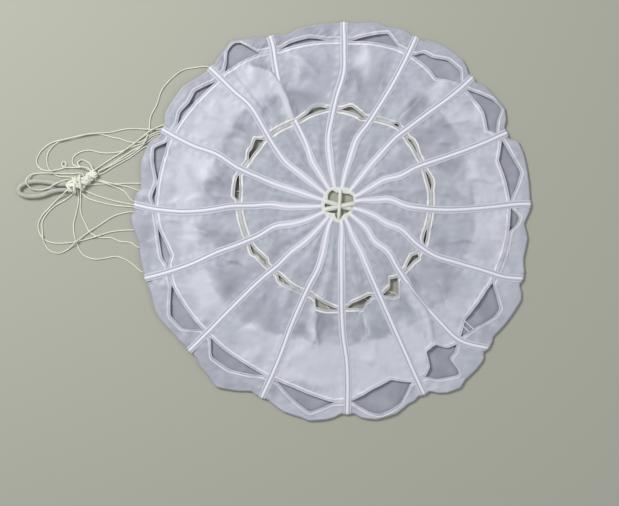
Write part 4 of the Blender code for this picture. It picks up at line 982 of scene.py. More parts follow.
def crown(cloth):
    """The crown, from under the vent binding to the inner slot."""
    return flat_ring(cloth, "crown", lambda b: outline(VENT_OUTER, b) - VENT_TUCK,
                     lambda b: slot_edges(INNER_SLOT, b)[0], True)


def ring(cloth):
    """The middle ring, between the two slots."""
    return flat_ring(cloth, "ring", lambda b: slot_edges(INNER_SLOT, b)[1],
                     lambda b: slot_edges(OUTER_SLOT, b)[0])


TIE_RADIUS, TIE_LIFT, TIE_SAG = 0.5, 0.75, 0.3
TIE_POINTS, TIE_SIDES = 15, 8


def ties():
    """The thin bars that hold an opening of the outer slot together, with a slight sag."""
    made = []
    share = np.linspace(0, 1, TIE_POINTS)
    height = OUTER_HEIGHT + TIE_LIFT - TIE_SAG * np.sin(np.pi * share)
    for bearing, start, end in TIES:
        plan = polar(bearing + 0 * share, start + (end - start) * share)
        made.append(tube(np.column_stack([plan, height]), TIE_RADIUS, TIE_SIDES, {
            "tone": 1.0, "edge": HEM_RIDGE[0], "warm": 0.0, "show": 0.7}))
    return made


SKIRT_HEM_SPREAD = 1.3             # as HEM_SPREAD, for one hem
SKIRT_ROWS, LOWER_ROWS = 12, 11    # rows from it to the fold, and on the lower layer
FOLD_ANGLES = np.radians(np.linspace(0, 180, 9)[1:-1])      # rows round the rim's fold
PRESSED_TO = 2.6                   # the height that the cloth nears at the rim, over this
PRESSED_OVER, PRESSED = 6.0, 0.5   # stretch and by this share
INSIDE_CLOTH = 20.0                # a distance from an edge that means no hem near
FOLD_SEEN, LOWER_SEEN = 0.35, 0.1  # tones of the fold, and of the lower layer, which is painted in the upper layers' shade


def skirt(cloth):
    """The skirt: out from the outer slot, round its fold at the rim and back to its hem.

    The fold is half an ellipse in the upright plane through the vent: its radius is the
    sine and its height the cosine of an angle that runs from 0 on top to 180 degrees.
    """
    u = gore_columns("skirt")
    rim = edge_radii(u, rim_radius, 1)
    start = edge_radii(u, lambda b: slot_edges(OUTER_SLOT, b)[1])
    start = np.minimum(start, rim - 2 * FOLD_INSET)[:, None]
    rim = rim[:, None]
    bend = rim - FOLD_INSET
    squeeze = np.minimum(1, (bend - start) / (SKIRT_HEM_SPREAD * HEM_ROWS[-1]))
    near = start + HEM_ROWS * squeeze
    share = np.linspace(0, 1, SKIRT_ROWS)[1:]
    upper = np.concatenate([near, near[:, -1:] + (bend - near[:, -1:]) * share], 1)
    fold = bend + FOLD_INSET * np.sin(FOLD_ANGLES)
    lower = bend + (HEM_RADIUS - bend) * np.linspace(0, 1, LOWER_ROWS)
    radii = np.concatenate([upper, fold, lower], 1)
    tops, folds = upper.shape[1], fold.shape[1]
    column = u[:, None] + 0 * radii
    turned = np.concatenate([upper, np.repeat(rim, folds + LOWER_ROWS, 1)], 1)
    bearings = gore_bearing(column, turned)
    edge = np.concatenate([upper - start, fold * 0 + INSIDE_CLOTH, lower - HEM_RADIUS], 1)
    relief, shade = cloth_relief(cloth, column[:, :tops], upper, edge[:, :tops])
    raised = upper_height(column[:, :tops], upper) + relief
    raised -= PRESSED * ease(upper - bend, -PRESSED_OVER, 0) * (raised - PRESSED_TO)
    sunk = lower_height(bearings)
    top, low = raised[:, -1:], sunk[:, tops:tops + 1]
    round_fold = (top + low) / 2 + (top - low) / 2 * np.cos(FOLD_ANGLES)
    heights = np.concatenate([raised, round_fold, sunk[:, -LOWER_ROWS:]], 1)
    plan = polar(bearings, radii)
    # painted shade: the skirt is darkened by bearing, most where it faces the key light
    seen = tone_seen(column[:, :tops], upper) - outline(SKIRT_PAINTED_SHADE, bearings[:, :tops])
    # the lower layer's painted shade, with a random change of tone
    under = LOWER_SEEN + waves(plan[:, tops + folds:], "lower tone")
    # the relief's painted shade and light are added to the skirt's tone
    tone = np.concatenate([seen + shade, fold * 0 + FOLD_SEEN, under], 1)
    return shell(u, np.concatenate([plan, heights[..., None]], -1), hem_profile(cloth, edge),
                 np.clip(tone, SKIRT_DARKEST, 1), edge, hem_shows("skirt inner", bearings))


# --- tapes ---
TAPE_COLUMNS = 25                  # points across a tape's upper side
UNDERSIDE = np.array([0.8, 0, -0.8])    # and on its underside, over its half width
EDGE_THIN, EDGE_POWER = 0.5, 9     # its edge is thinner by this share, and rounded off so
RIB_REACH, RIB_FILLED = 0.75, 0.5  # half width of its rib, and more where filled out
TAPE_GROOVE = 1.95                 # its seams, to each side of its rib
GROOVE_REACH, GROOVE_DEPTH = 0.3, 0.14
HIDDEN_RIB = 0.8                   # a half hidden rib looks as it does this far off
THREAD_LANE = 3.0                  # its thread looks as it does this far off the rib
THREAD_SECTION = ((-0.7, 0), (0, 1), (0.7, 0), (0, -1))     # over the thread's half width
THREAD_LIFT = 0.02                 # the thread's middle over the tape
STITCH, STITCH_SWAY = 1.15, 0.34   # along a tape from stitch to stitch, and off a seam
STITCH_END, STITCH_MARGIN = 1.0, 0.35   # least distances from a tape's ends and edges


def webbing(tapes, centre, outward, widths, rib_at, full, hidden, zigzag=True):
    """A flat tape along its middle line, with a rib, sunken seams and zigzag stitching.

    Across the tape the height is its thickness, rounded off at the edges, plus a bell for
    the rib and less two narrower bells where the seams draw it in. rib_at is how far the
    rib lies off the middle, and full is how far the tape is filled out to both sides of it,
    both along the tape. Where it is half hidden, the rib looks greyer. The stitching is a
    thread that goes from side to side of a seam.
    """
    along = unit(np.gradient(centre, axis=0))
    side = unit(np.stack([-outward[:, 1], outward[:, 0], 0 * outward[:, 0]], 1))
    up = np.cross(along, side)
    thick, rib, thread = tapes.thickness / MM, tapes.rib / MM, tapes.thread / MM
    share = np.linspace(-1, 1, TAPE_COLUMNS)
    across = widths[:, None] / 2 * share
    lane = across - rib_at[:, None]
    broad = RIB_REACH + RIB_FILLED * full[:, None]
    top = (thick * (1 - EDGE_THIN * np.abs(share) ** EDGE_POWER)
           + rib * np.exp(-(lane / broad) ** 4)
           - GROOVE_DEPTH * bell(np.abs(lane), TAPE_GROOVE, GROOVE_REACH))
    under = widths[:, None] / 2 * UNDERSIDE
    place = np.concatenate([across, under], 1)
    height = np.concatenate([top, 0 * under], 1)
    points = (centre[:, None] + side[:, None] * place[..., None]
              + up[:, None] * height[..., None])
    reach = lengths(centre)
    uv = np.stack(np.broadcast_arrays(reach[:, None], np.append(place[0], place[0, 0])), -1)
    lane = np.concatenate([np.abs(lane) + HIDDEN_RIB * hidden[:, None], 0 * under], 1)
    made = [patch(points, uv, round_across=True,
                  values={"lane": lane, "full": full[:, None] + 0 * place})]
    at = np.arange(STITCH_END, reach[-1] - STITCH_END, STITCH)
    route, beside, above = (np.stack([np.interp(at, reach, axis) for axis in grid.T], 1)
                            for grid in (centre, side, up))
    swing = np.interp(at, reach, rib_at) + np.where(np.arange(len(at)) % 2, STITCH_SWAY,
                                                    -STITCH_SWAY)
    limit = np.interp(at, reach, widths) / 2 - STITCH_MARGIN
    section = np.stack([beside * a + above * b for a, b in THREAD_SECTION], 1) * thread / 2
    for seam in (-TAPE_GROOVE, TAPE_GROOVE) if zigzag else ():
        off = np.clip(swing + seam, -limit, limit)[:, None]
        middle = route + beside * off + above * (thick + THREAD_LIFT)
        made.append(patch(middle[:, None] + section, np.zeros((len(at), 5, 2)),
                          round_across=True, values={"lane": THREAD_LANE, "full": 0.0}))
    return made


TAPE_STEP, BACK_STEP = 1.6, 5.0    # a tape's rows over the cloth, and under it
TAPE_LIFT, TAPE_BELOW = 0.06, 0.1  # its distance from the cloth, above and below
TAPE_OUTSIDE = 0.35                # how far outside the cloth's fold it goes round
RIM_SAMPLES = np.arange(-3, 4) * 0.3    # bearings beside it by which its rim is softened
VENT_DROP, VENT_DROP_END = 0.3, 4.0     # it goes down beside the vent, in this stretch
DIP_DEPTH, DIP_END = 1.5, 1.2      # and where cloth covers it, fading over twice this
HIDDEN_WIDTH, HIDDEN_ENDS = 0.5, (7, 3)     # share covered, and half the fades' lengths
FILLED_OUT = (48, 80)              # radii over which it is less and less filled out
RIB_SHARE = 0.9                    # how much nearer its middle its rib lies there
RIB_BACK = (150, 172)              # radii over which the rib comes back to the middle
RIB_SWAY, RIB_LENGTH = 0.15, 17    # a slow sway of the rib: size, and length of a radian
WIDTH_SWAY = ((0.03, 5.1, 1), (0.02, 2.3, 0))   # share, the same length, phase by tape


def radial_tape(cloth, tapes, number):
    """One radial tape: from the vent over the cloth, round the rim and under to the hem.

    Its height over the cloth follows the hems that it crosses, and round the rim it is
    half an ellipse outside the cloth's own fold.
    """
    u, turn = float(number - 1), TAPES[number - 1][-1]
    rims = soften(rim_radius(turn + RIM_SAMPLES), 1)
    rim = float(rims[len(rims) // 2])
    start = float(outline(VENT_OUTER, TAPES[number - 1][0])) - 2 * VENT_TUCK
    bend = rim - FOLD_INSET
    rows = np.ceil((bend - start) / TAPE_STEP)
    over = np.arange(start, bend, (bend - start) / rows - 1e-6)
    column = np.full(len(over), u)
    hems = [slot_edges(slot, gore_bearing(column, over)) for slot in (INNER_SLOT, OUTER_SLOT)]
    edge = np.min([np.abs(over - side) for pair in hems for side in pair], axis=0)
    thick = soften(np.clip(hem_profile(cloth, edge), cloth.thickness / MM, None), 2)
    thick[[0, -1]] = thick[[1, -2]]
    top = upper_height(column, over) + thick / 2 + TAPE_LIFT
    top -= VENT_DROP * (1 - ease(over, start, start + VENT_DROP_END))
    for covered, near, far in TAPE_DIPS:
        top -= DIP_DEPTH * (covered == number) * within(over, near, far, DIP_END, DIP_END)
    low = float(lower_height(np.array([turn]))[0]) - cloth.thickness / MM / 2 - TAPE_BELOW
    fold = bend + (FOLD_INSET + TAPE_OUTSIDE) * np.sin(FOLD_ANGLES)
    round_fold = (top[-1] + low) / 2 + (top[-1] - low) / 2 * np.cos(FOLD_ANGLES)
    back = np.arange(bend, HEM_RADIUS, -BACK_STEP)
    radii = np.concatenate([over, fold, back])
    heights = np.concatenate([top, round_fold, np.full(len(back), low)])
    turned = np.where(np.arange(len(radii)) < len(over), radii, rim)
    centre = np.concatenate([polar(gore_bearing(np.full(len(radii), u), turned), radii),
                             heights[:, None]], 1)
    outward = np.gradient(centre[:, :2], axis=0)
    outward[len(over) - 1:] = polar(turn, 1.0) - polar(turn, 0.0)
    full = 1 - ease(radii, *FILLED_OUT)
    rib_at = TAPE_RIBS.get(number, 0) * (1 - RIB_SHARE * full) * (1 - ease(radii, *RIB_BACK))
    rib_at = rib_at + RIB_SWAY * np.sin(radii / RIB_LENGTH + number)
    hidden = 0 * radii
    for covered, near, far in TAPE_HALF_HIDDEN:
        hidden[:len(over)] += (covered == number) * within(over, near, far, *HIDDEN_ENDS)
    uneven = 1 + sum(share * np.sin(radii / length + own * number)
                     for share, length, own in WIDTH_SWAY)
    widths = np.interp(radii, *zip(*TAPE_WIDTHS)) * uneven * (1 - HIDDEN_WIDTH * hidden)
    return webbing(tapes, centre, unit(outward), widths, rib_at, full, hidden)


BINDING_COLUMNS, BINDING_ROWS = 288, 24     # points round the vent, and round the roll
BINDING_RADIUS, BINDING_STRIDE = 15.0, 0.3  # for its pattern: mean radius, row to row
BINDING_SPREAD = 1.03              # it is a little wider than its outlines
BINDING_RIPPLE = ((0.10, 16, 1), (0.06, 41, 0))     # share, number round the vent, phase
BINDING_SEAMS = (0.35, -0.4)       # its grooves' places over the half width
BINDING_GROOVE, SEAM_REACH = 0.16, 0.12     # their depth, and reach over the half width


def vent_binding():
    """The binding round the vent: a flattened roll between two outlines.

    Across it is an ellipse with two shallow grooves on top, where it is sewn, and a slow
    ripple along it stands for the gathers where the tapes are sewn in.
    """
    turn = np.linspace(0, 360, BINDING_COLUMNS + 1)
    girth, turn = np.radians(turn) * BINDING_RADIUS, turn[:-1]
    inner, outer = (soften(outline(table, turn), 3) for table in (VENT_INNER, VENT_OUTER))
    angle = np.linspace(0, 2 * np.pi, BINDING_ROWS + 1)[:-1]
    half = (outer - inner)[:, None] / 2 * BINDING_SPREAD
    radius = (outer + inner)[:, None] / 2 + half * np.cos(angle)
    swell = 1 + sum(size * np.sin(np.radians(turn) * count + phase)
                    for size, count, phase in BINDING_RIPPLE)
    groove = sum(BINDING_GROOVE * bell(np.cos(angle), at, SEAM_REACH)
                 for at in BINDING_SEAMS)
    height = (CROWN_HEIGHT + BINDING / 2 * swell[:, None] * np.sin(angle)
              - np.where(np.sin(angle) > 0, groove, 0))
    points = np.concatenate([polar(turn[:, None] + 0 * radius, radius), height[..., None]], -1)
    across = np.arange(BINDING_ROWS + 1) * BINDING_STRIDE
    uv = np.stack(np.broadcast_arrays(girth[:, None], across), -1)
    flat = np.zeros(radius.shape)
    return [patch(points, uv, True, True, {"lane": flat, "full": flat + 1})]


CROSS_LIFT, CROSS_LAYER = 0.12, 0.75    # tapes over the binding, and over one another
CROSS_SAG, CROSS_POINTS = 0.5, 41  # their sag, and points along them
CROSS_SWAY, CROSS_WAVE = 0.05, 19  # unevenness of their width: share, radians end to end
CROSS_FILLED = 0.6                 # how far they are filled out
STITCHED = (1, 2)                  # those with zigzag stitching
CROSS_DROP, CROSS_END = 0.95, 0.13      # they go down by this at the ends, in this share


def vent_tape(tapes, number):
    """A tape across the vent, sagging a little between its sewn ends."""
    start, end, width, (first, middle, last) = VENT_TAPES[number - 1]
    start, end = np.array(start), np.array(end)
    share = np.linspace(0, 1, CROSS_POINTS)
    plan = (VENT_X, VENT_Y) + start + (end - start) * share[:, None]
    layer = np.interp(share, VENT_TAPE_SHARES, [first, middle, middle, last])
    height = CROWN_HEIGHT + BINDING / 2 + CROSS_LIFT + layer * CROSS_LAYER
    height = height - CROSS_SAG * np.sin(np.pi * share) ** 2
    height = height - CROSS_DROP * (1 - ease(np.minimum(share, 1 - share), 0, CROSS_END))
    outward = np.tile(unit(end - start), (len(share), 1))
    widths = width * (1 + CROSS_SWAY * np.sin(share * CROSS_WAVE + number))
    return webbing(tapes, np.column_stack([plan, height]), outward, widths, 0 * share,
                   0 * share + CROSS_FILLED, 0 * share, number in STITCHED)


# --- lines and knot ---
LINE_STEP, RISER_STEP, STRAND_STEP = 0.62, 0.5, 0.45    # points along the finished cords
LINE_SIDES, RISER_SIDES, STRAND_SIDES = 10, 28, 14      # and round them
TWIST, KNOT_TWIST, LOOP_TWIST = (0.94, 0.13), (0.95, 0.1), (0.94, 0.12)     # mean, swell
BRAID_PITCH = 6.4                  # length of one turn of a carrier in the riser loop
BRAID, BRAID_MEAN = (0.96, 0.06), 0.985     # mean and swell, and the mean of its thickness
BRAID_SWAY = ((0.025, 5.3), (0.012, 2.1))   # unevenness of that: share, length of a radian
LAYING_ROUNDS = 3                  # rounds for the heights, as a line may cross itself
KNOT_STEP = 0.5                    # points along the knot's middle


def held_straight(points):
    """A route's points, with two more on each long run to keep its middle straight."""
    held = [points[0]]
    for start, end in zip(points, points[1:]):
        run = np.linalg.norm(end - start)
        if run > LONG_RUN:
            held += [start + (end - start) * RUN_END / run, end - (end - start) * RUN_END / run]
        held.append(end)
    return np.array(held)


def resampled(points, step):
    """Points at even steps along a fine polyline."""
    length = lengths(points)
    at = np.linspace(0, length[-1], max(2, round(length[-1] / step) + 1))
    return np.stack([np.interp(at, length, axis) for axis in points.T], 1)


def sampled(points, step):
    """Points at even steps along the smooth curve through a route's own points."""
    points = held_straight(np.asarray(points, float))
    reach = lengths(points)
    return resampled(smooth(reach, points, np.arange(0, reach[-1], step / 4)), step)


def laid(plan, diameter, below):
    """A cord's way in three dimensions: on the floor, and over whatever it crosses.

    Its height is at least its radius, and over another cord at least that cord's height
    plus what Pythagoras leaves of the two radii and a clearance. Beside a crossing it
    falls away at the slope CLIMB.
    """
    steps = np.arange(len(plan))
    apart_along = np.abs(steps[:, None] - steps) * STEP
    floor = np.full(len(plan), diameter / 2)
    height = floor
    for _ in range(LAYING_ROUNDS):
        own = np.column_stack([plan, height])
        need = floor
        for points, other in below + [(own, diameter)]:
            reach = (diameter + other) / 2 + LINE_GAP
            apart = np.linalg.norm(plan[:, None] - points[None, :, :2], axis=2)
            close = apart < reach
            if points is own:
                close &= (steps[:, None] - steps) * STEP > OWN_LENGTH
            over = points[:, 2] + np.sqrt(np.clip(reach ** 2 - apart ** 2, 0, None))
            need = np.maximum(need, np.where(close, over, 0).max(axis=1))
        height = (need - CLIMB * apart_along).max(axis=1)
        for _ in range(2):
            soft = np.convolve(np.pad(height, 2, mode="edge"), np.ones(5) / 5, mode="valid")
            height = np.maximum(soft, need)
    return np.column_stack([plan, height])


def knot_middle():
    """Middle line and half width of the knot, sampled along its length."""
    lumps = sampled([row[:2] for row in KNOT], KNOT_STEP)
    reach = lengths(lumps)
    ends = [np.linalg.norm(lumps - row[:2], axis=1).argmin() for row in KNOT]
    return lumps, smooth(reach[ends], [row[2] for row in KNOT], reach)


def clear_of_knot(plan, clearance):
    """A way without its ends inside the knot."""
    lumps, half = knot_middle()
    apart = np.linalg.norm(plan[:, None, :2] - lumps[None], axis=2)
    free = np.flatnonzero((apart - half).min(axis=1) > clearance)
    return plan[max(free[0] - 1, 0):free[-1] + 2]


def routes(cords):
    """Name, way and diameter of the riser loop, each line and each slack loop."""
    line, riser = cords.line / MM, cords.riser / MM
    ways = [("riser_loop", RISER, riser)]
    for tape, hidden, exit_bearing, visible in LINES:
        start = float(gore_bearing(tape - 1, np.array(HEM_RADIUS)))
        turns = [(start, LINE_START), *hidden,
                 (exit_bearing, float(rim_radius(exit_bearing)) + EXIT_REACH)]
        under = [polar(bearing, radius) for bearing, radius in turns]
        ways.append((f"suspension_line_{tape:02d}", [*under, *visible], line))
    for number, way in enumerate(SLACK_LOOPS, 1):
        ways.append((f"slack_loop_{number}", way, line))
    return ways


def cord_ways(cords):
    """Every cord's way in three dimensions, laid one over the other in their order."""
    below, ways = [], {}
    for name, way, diameter in routes(cords):
        plan = clear_of_knot(sampled(way, STEP), -INTO_KNOT)
        points = laid(plan, diameter, below)
        below.append((resampled(points, STEP / 2), diameter))
        ways[name] = points
    return ways


def twisted(centre, diameter, lay, sides, twist=TWIST, taper=1.0):
    """A cord of two strands laid round each other, as a tube whose radius goes in and out.

    The radius is widest along two helices of pitch `lay`, by the cosine of twice the angle
    from them.
    """
    wave = np.cos(2 * (turns_round(sides) - 2 * np.pi * lengths(centre)[:, None] / lay))
    return tube(centre, diameter / 2 * (twist[0] + twist[1] * wave) * taper, sides)


def braided(centre, diameter, pitch, sides):
    """A braid of eight carriers: the product of two opposed helical waves on a tube.

    The tube swells and narrows slowly along its length.
    """
    reach = lengths(centre)[:, None]
    angle, turn = turns_round(sides), 2 * np.pi * reach / pitch
    wave = np.cos(4 * angle + turn) * np.cos(4 * angle - turn)
    slow = BRAID_MEAN + sum(share * np.sin(reach / length) for share, length in BRAID_SWAY)
    return tube(centre, diameter / 2 * slow * (BRAID[0] + BRAID[1] * wave), sides)


def fine_way(points, step):
    """A smooth curve through a cord's points, at even steps."""
    reach = lengths(points)
    return resampled(smooth(reach, points, np.arange(0, reach[-1], step / 2)), step)


KNOT_SEAT = 0.8                    # height of its middle over half its thickness
KNOT_OUT = 0.1                     # the turns lie this far outside it
KNOT_LAY = 1.4                     # lay of its strands over that of a line
KNOT_SWAY = (0.5, 3)               # unevenness of a strand's turns: radians, length
THINNEST_HELIX = 0.2               # a strand's middle goes round the knot's this far off
STRAND_FLAT, STRAND_TAPER = 0.9, 14     # its height over its width, and power at its ends
TURN_POINTS = 60                   # along each of its turns
LOOP_TILT = (0.31, 0.2, 0.93)      # a direction along which no turn of the knot runs


def knot_strands(cords):
    """The knot: thick strands that wind along its lumpy middle, and turns drawn round it.

    A strand's middle goes round the knot's as a helix whose radius is the knot's half
    width less the strand's own, squashed to a share of it in height. Its ends taper.
    """
    lumps, half = knot_middle()
    reach = lengths(lumps)
    along = unit(np.gradient(lumps, axis=0))
    side = np.stack([-along[:, 1], along[:, 0]], 1)
    tall = KNOT_SQUASH * half
    seat = KNOT_SEAT * tall.max()
    lay = cords.lay / MM
    made = []
    for number, (diameter, turns, phase, share) in enumerate(KNOT_STRANDS):
        angle = (phase + 2 * np.pi * turns * reach / reach[-1]
                 + KNOT_SWAY[0] * np.sin(reach / KNOT_SWAY[1] + number))
        out = np.clip(half - diameter / 2, THINNEST_HELIX, None) * share
        plan = lumps + side * (out * np.cos(angle))[:, None]
        height = seat + (tall - diameter / 2 * STRAND_FLAT) * share * np.sin(angle)
        height = np.maximum(height, diameter / 2)
        centre = fine_way(np.column_stack([plan, height]), STRAND_STEP)
        ends = np.abs(np.linspace(-1, 1, len(centre)))[:, None]
        taper = np.sqrt(np.clip(1 - ends ** STRAND_TAPER, 0.05, 1))
        made.append(twisted(centre, diameter, lay * KNOT_LAY, STRAND_SIDES, KNOT_TWIST, taper))
    angle = turns_round(TURN_POINTS)
    for place, lean, diameter in KNOT_TURNS:
        at = int(place * (len(lumps) - 1))
        plan = (lumps[at] + side[at] * ((half[at] + KNOT_OUT) * np.cos(angle))[:, None]
                + along[at] * (lean * np.cos(angle))[:, None])
        height = np.maximum(seat + (tall[at] + KNOT_OUT) * np.sin(angle), diameter / 2)
        made.append(loop(np.column_stack([plan, height]), diameter, lay))
    return made


def loop(centre, diameter, lay):
    """A closed turn of twisted cord, whose strands make a whole number of half turns."""
    along = unit(np.roll(centre, -1, 0) - np.roll(centre, 1, 0))
    level = unit(np.cross(along, LOOP_TILT))
    up = np.cross(level, along)
    reach = np.arange(len(centre)) * np.linalg.norm(centre[1] - centre[0])
    turns = max(1, round(reach[-1] / lay))
    angle, share = turns_round(LINE_SIDES), np.arange(len(centre))[:, None] / len(centre)
    ply = np.cos(2 * (angle - np.pi * turns * share))
    radius = diameter / 2 * (LOOP_TWIST[0] + LOOP_TWIST[1] * ply)
    ring = level[:, None] * np.cos(angle)[:, None] + up[:, None] * np.sin(angle)[:, None]
    grid = centre[:, None] + ring * radius[..., None]
    uv = np.stack(np.broadcast_arrays(np.append(reach, reach[-1] + 1)[:, None],
                                      np.arange(LINE_SIDES + 1) * ROUND_ONCE / LINE_SIDES), -1)
    return patch(grid, uv, True, True)


# --- materials ---
def add(tree, kind, inputs=None, stops=(), **settings):
    """A shader node with its settings; each input is a value or a (node, output) to link.

    A ramp's stops are (place, colour, alpha), and it runs straight from one to the next.
    """
    made = tree.nodes.new("ShaderNode" + kind)
    for name, value in settings.items():
        setattr(made, name, value)
    for at, (place, code, alpha) in enumerate(stops):
        elements = made.color_ramp.elements
        element = elements[at] if at < 2 else elements.new(place)
        element.position = place
        element.color = (*tuple(code)[:3], alpha)
    for name, value in (inputs or {}).items():
        if isinstance(value, tuple) and isinstance(value[0], bpy.types.Node):
            tree.links.new(value[0].outputs[value[1]], made.inputs[name])
        else:
            made.inputs[name].default_value = value
    return made


def finish(name, roughness, sheen, specular):
    """A new material and its shader: a dielectric with a little sheen off its fibres."""
    made = bpy.data.materials.new(name)
    made.use_nodes = True
    shader = made.node_tree.nodes["Principled BSDF"]
    for socket, value in (("Roughness", roughness), ("Sheen Weight", sheen),
                          ("Sheen Roughness", 0.4), ("IOR", 1.53),
                          ("Specular IOR Level", specular)):
        shader.inputs[socket].default_value = value
    return made, made.node_tree, shader


def dress(tree, shader, base, bump):
    """Links a colour and a bump to the shader."""
    tree.links.new(base.outputs[2], shader.inputs["Base Color"])
    tree.links.new(bump.outputs[0], shader.inputs["Normal"])


BAND = 0.5 / 3.14                  # scale of a wave texture for threads 1 apart
HEM_SHOWN, TAPE_SHOWN = 4.2, 4.0   # distances that the ramps over hems and tapes span
TWILL_TURN = 0.785                 # the twill runs at 45 degrees, here in radians


def weave(tree, source, thread, angle=0.0):
    """Height of a plain weave: crossed bands as far apart as two threads, in millimetres."""
    spot = add(tree, "Mapping", {"Vector": source, "Rotation": (0, 0, angle),
                                 "Scale": (1 / MM,) * 3})
    bands = [add(tree, "TexWave", {"Vector": (spot, 0), "Scale": BAND / thread, "Detail": 1.0,
                                   "Distortion": 0.25}, bands_direction=way) for way in "XY"]
    return add(tree, "Math", {0: (bands[0], "Fac"), 1: (bands[1], "Fac")}, operation="MULTIPLY")


def cloth_material(name, cloth):
    """Calendered nylon, woven plain and pressed smooth: sheer, with a soft broad gloss.

    One layer lets some of the dark of the gap through and looks greyer than two. A hem has
    a light edge, a grey seam and over its cord a white ridge, creamier at the inner slot.
    The 0.15 mm threads are drawn at 0.7 mm, so that they show.
    """
    made, tree, shader = finish(name, roughness=0.5, sheen=0.25, specular=0.45)
    pattern = add(tree, "UVMap", uv_map="pattern")
    spot = add(tree, "TexCoord")
    tone, edge, warm, show = (add(tree, "Attribute", attribute_name=attribute)
                              for attribute in ("tone", "edge", "warm", "show"))
    # tones below ONE_LAYER, the painted shade among them, run towards the lower layer's grey
    shades = add(tree, "ValToRGB", {0: (tone, "Fac")}, (
        (0.0, cloth.lower, 1), (1.0, cloth.double, 1), (ONE_LAYER, cloth.single, 1)))
    cloud = add(tree, "TexNoise", {"Vector": (spot, "Object"), "Scale": 30.0,
                                   "Detail": 3.0, "Roughness": 0.55})
    drift = add(tree, "MapRange", {"Value": (cloud, "Fac"), "From Min": 0.42,
                                   "From Max": 0.68, "To Min": 0.0, "To Max": 0.3})
    cool = add(tree, "Mix", {0: (drift, 0), 6: (shades, 0), 7: linear("#B7C2C9")},
               data_type="RGBA")
    depth = add(tree, "Math", {0: (edge, "Fac"), 1: HEM_SHOWN}, operation="DIVIDE")
    cord, seam, side = tuple(cloth.hem), linear("#9B9CA7"), linear("#CBCBD3")
    hems = add(tree, "ValToRGB", {0: (depth, 0)}, (
        (0.0, side, 0.9), (1.0, seam, 0.0), (0.22, side, 0.75), (0.34, seam, 0.85),
        (0.44, side, 0.5), (0.54, cord, 0.95), (0.82, cord, 0.95), (0.92, seam, 0.35)))
    cream = add(tree, "Mix", {0: (warm, "Fac"), 6: (hems, 0), 7: linear("#F6F6EA")},
                data_type="RGBA", blend_type="MULTIPLY")
    plain = add(tree, "Math", {0: (hems, 1), 1: (show, "Fac")}, operation="MULTIPLY")
    base = add(tree, "Mix", {0: (plain, 0), 6: (cool, 2), 7: (cream, 2)}, data_type="RGBA")
    threads = weave(tree, (pattern, 0), 0.7)
    crinkle = add(tree, "TexNoise", {"Vector": (spot, "Object"), "Scale": 190.0,
                                     "Detail": 4.0, "Roughness": 0.6})
    fine = add(tree, "Bump", {"Strength": 0.12, "Distance": 0.00012, "Height": (threads, 0)})
    rough = add(tree, "Bump", {"Strength": 0.45, "Distance": 0.0008,
                               "Height": (crinkle, "Fac"), "Normal": (fine, 0)})
    dress(tree, shader, base, rough)
    return made


def tape_material(name, plain, *codes):
    """Woven tape, matt, in a close twill: whitest on its rib, with a grey seam beside it.

    Near the vent the tape is filled out and has no grey seams. The 0.3 mm twill lines are
    drawn at 0.8 mm. The codes are the colours of its flat, its side and its seam.
    """
    made, tree, shader = finish(name, roughness=0.62, sheen=0.35, specular=0.4)
    rib, (flat, side, seam) = tuple(plain), map(linear, codes)
    pattern = add(tree, "UVMap", uv_map="pattern")
    lane, full = (add(tree, "Attribute", attribute_name=attribute)
                  for attribute in ("lane", "full"))
    away = add(tree, "Math", {0: (lane, "Fac")}, operation="ABSOLUTE")
    depth = add(tree, "Math", {0: (away, 0), 1: TAPE_SHOWN}, operation="DIVIDE")
    lines = add(tree, "ValToRGB", {0: (depth, 0)}, (
        (0.0, rib, 1), (1.0, side, 1), (0.2, rib, 1), (0.35, seam, 1), (0.53, seam, 1),
        (0.62, side, 1)))
    filled = add(tree, "ValToRGB", {0: (depth, 0)}, (
        (0.0, rib, 1), (1.0, side, 1), (0.06, rib, 1), (0.42, flat, 1), (0.75, flat, 1)))
    base = add(tree, "Mix", {0: (full, "Fac"), 6: (lines, 0), 7: (filled, 0)}, data_type="RGBA")
    twill = weave(tree, (pattern, 0), 0.8, TWILL_TURN)
    bump = add(tree, "Bump", {"Strength": 0.35, "Distance": 0.0002, "Height": (twill, 0)})
    dress(tree, shader, base, bump)
    return made


def cord_material(name, plain, shade, grain):
    """Twisted or braided nylon cord: creamy, dull, a little fluffy, darker in its hollows.

    Fine noise stretched along the cord stands for the fibres, 0.1 mm drawn at 0.3 mm.
    """
    made, tree, shader = finish(name, roughness=0.7, sheen=0.45, specular=0.35)
    pattern = add(tree, "UVMap", uv_map="pattern")
    spot = add(tree, "Mapping", {"Vector": (pattern, 0), "Scale": (900 * grain, 14.0, 1.0)})
    fibre = add(tree, "TexNoise", {"Vector": (spot, 0), "Scale": 1.0, "Detail": 3.0})
    place = add(tree, "TexCoord")
    slow = add(tree, "TexNoise", {"Vector": (place, "Object"), "Scale": 120.0, "Detail": 2.0})
    share = add(tree, "MapRange", {"Value": (slow, "Fac"), "From Min": 0.35,
                                   "From Max": 0.75, "To Min": 0.0, "To Max": 0.55})
    base = add(tree, "Mix", {0: (share, 0), 6: tuple(plain), 7: linear(shade)},
               data_type="RGBA")
    bump = add(tree, "Bump", {"Strength": 0.4, "Distance": 0.0002, "Height": (fibre, "Fac")})
    dress(tree, shader, base, bump)
    return made


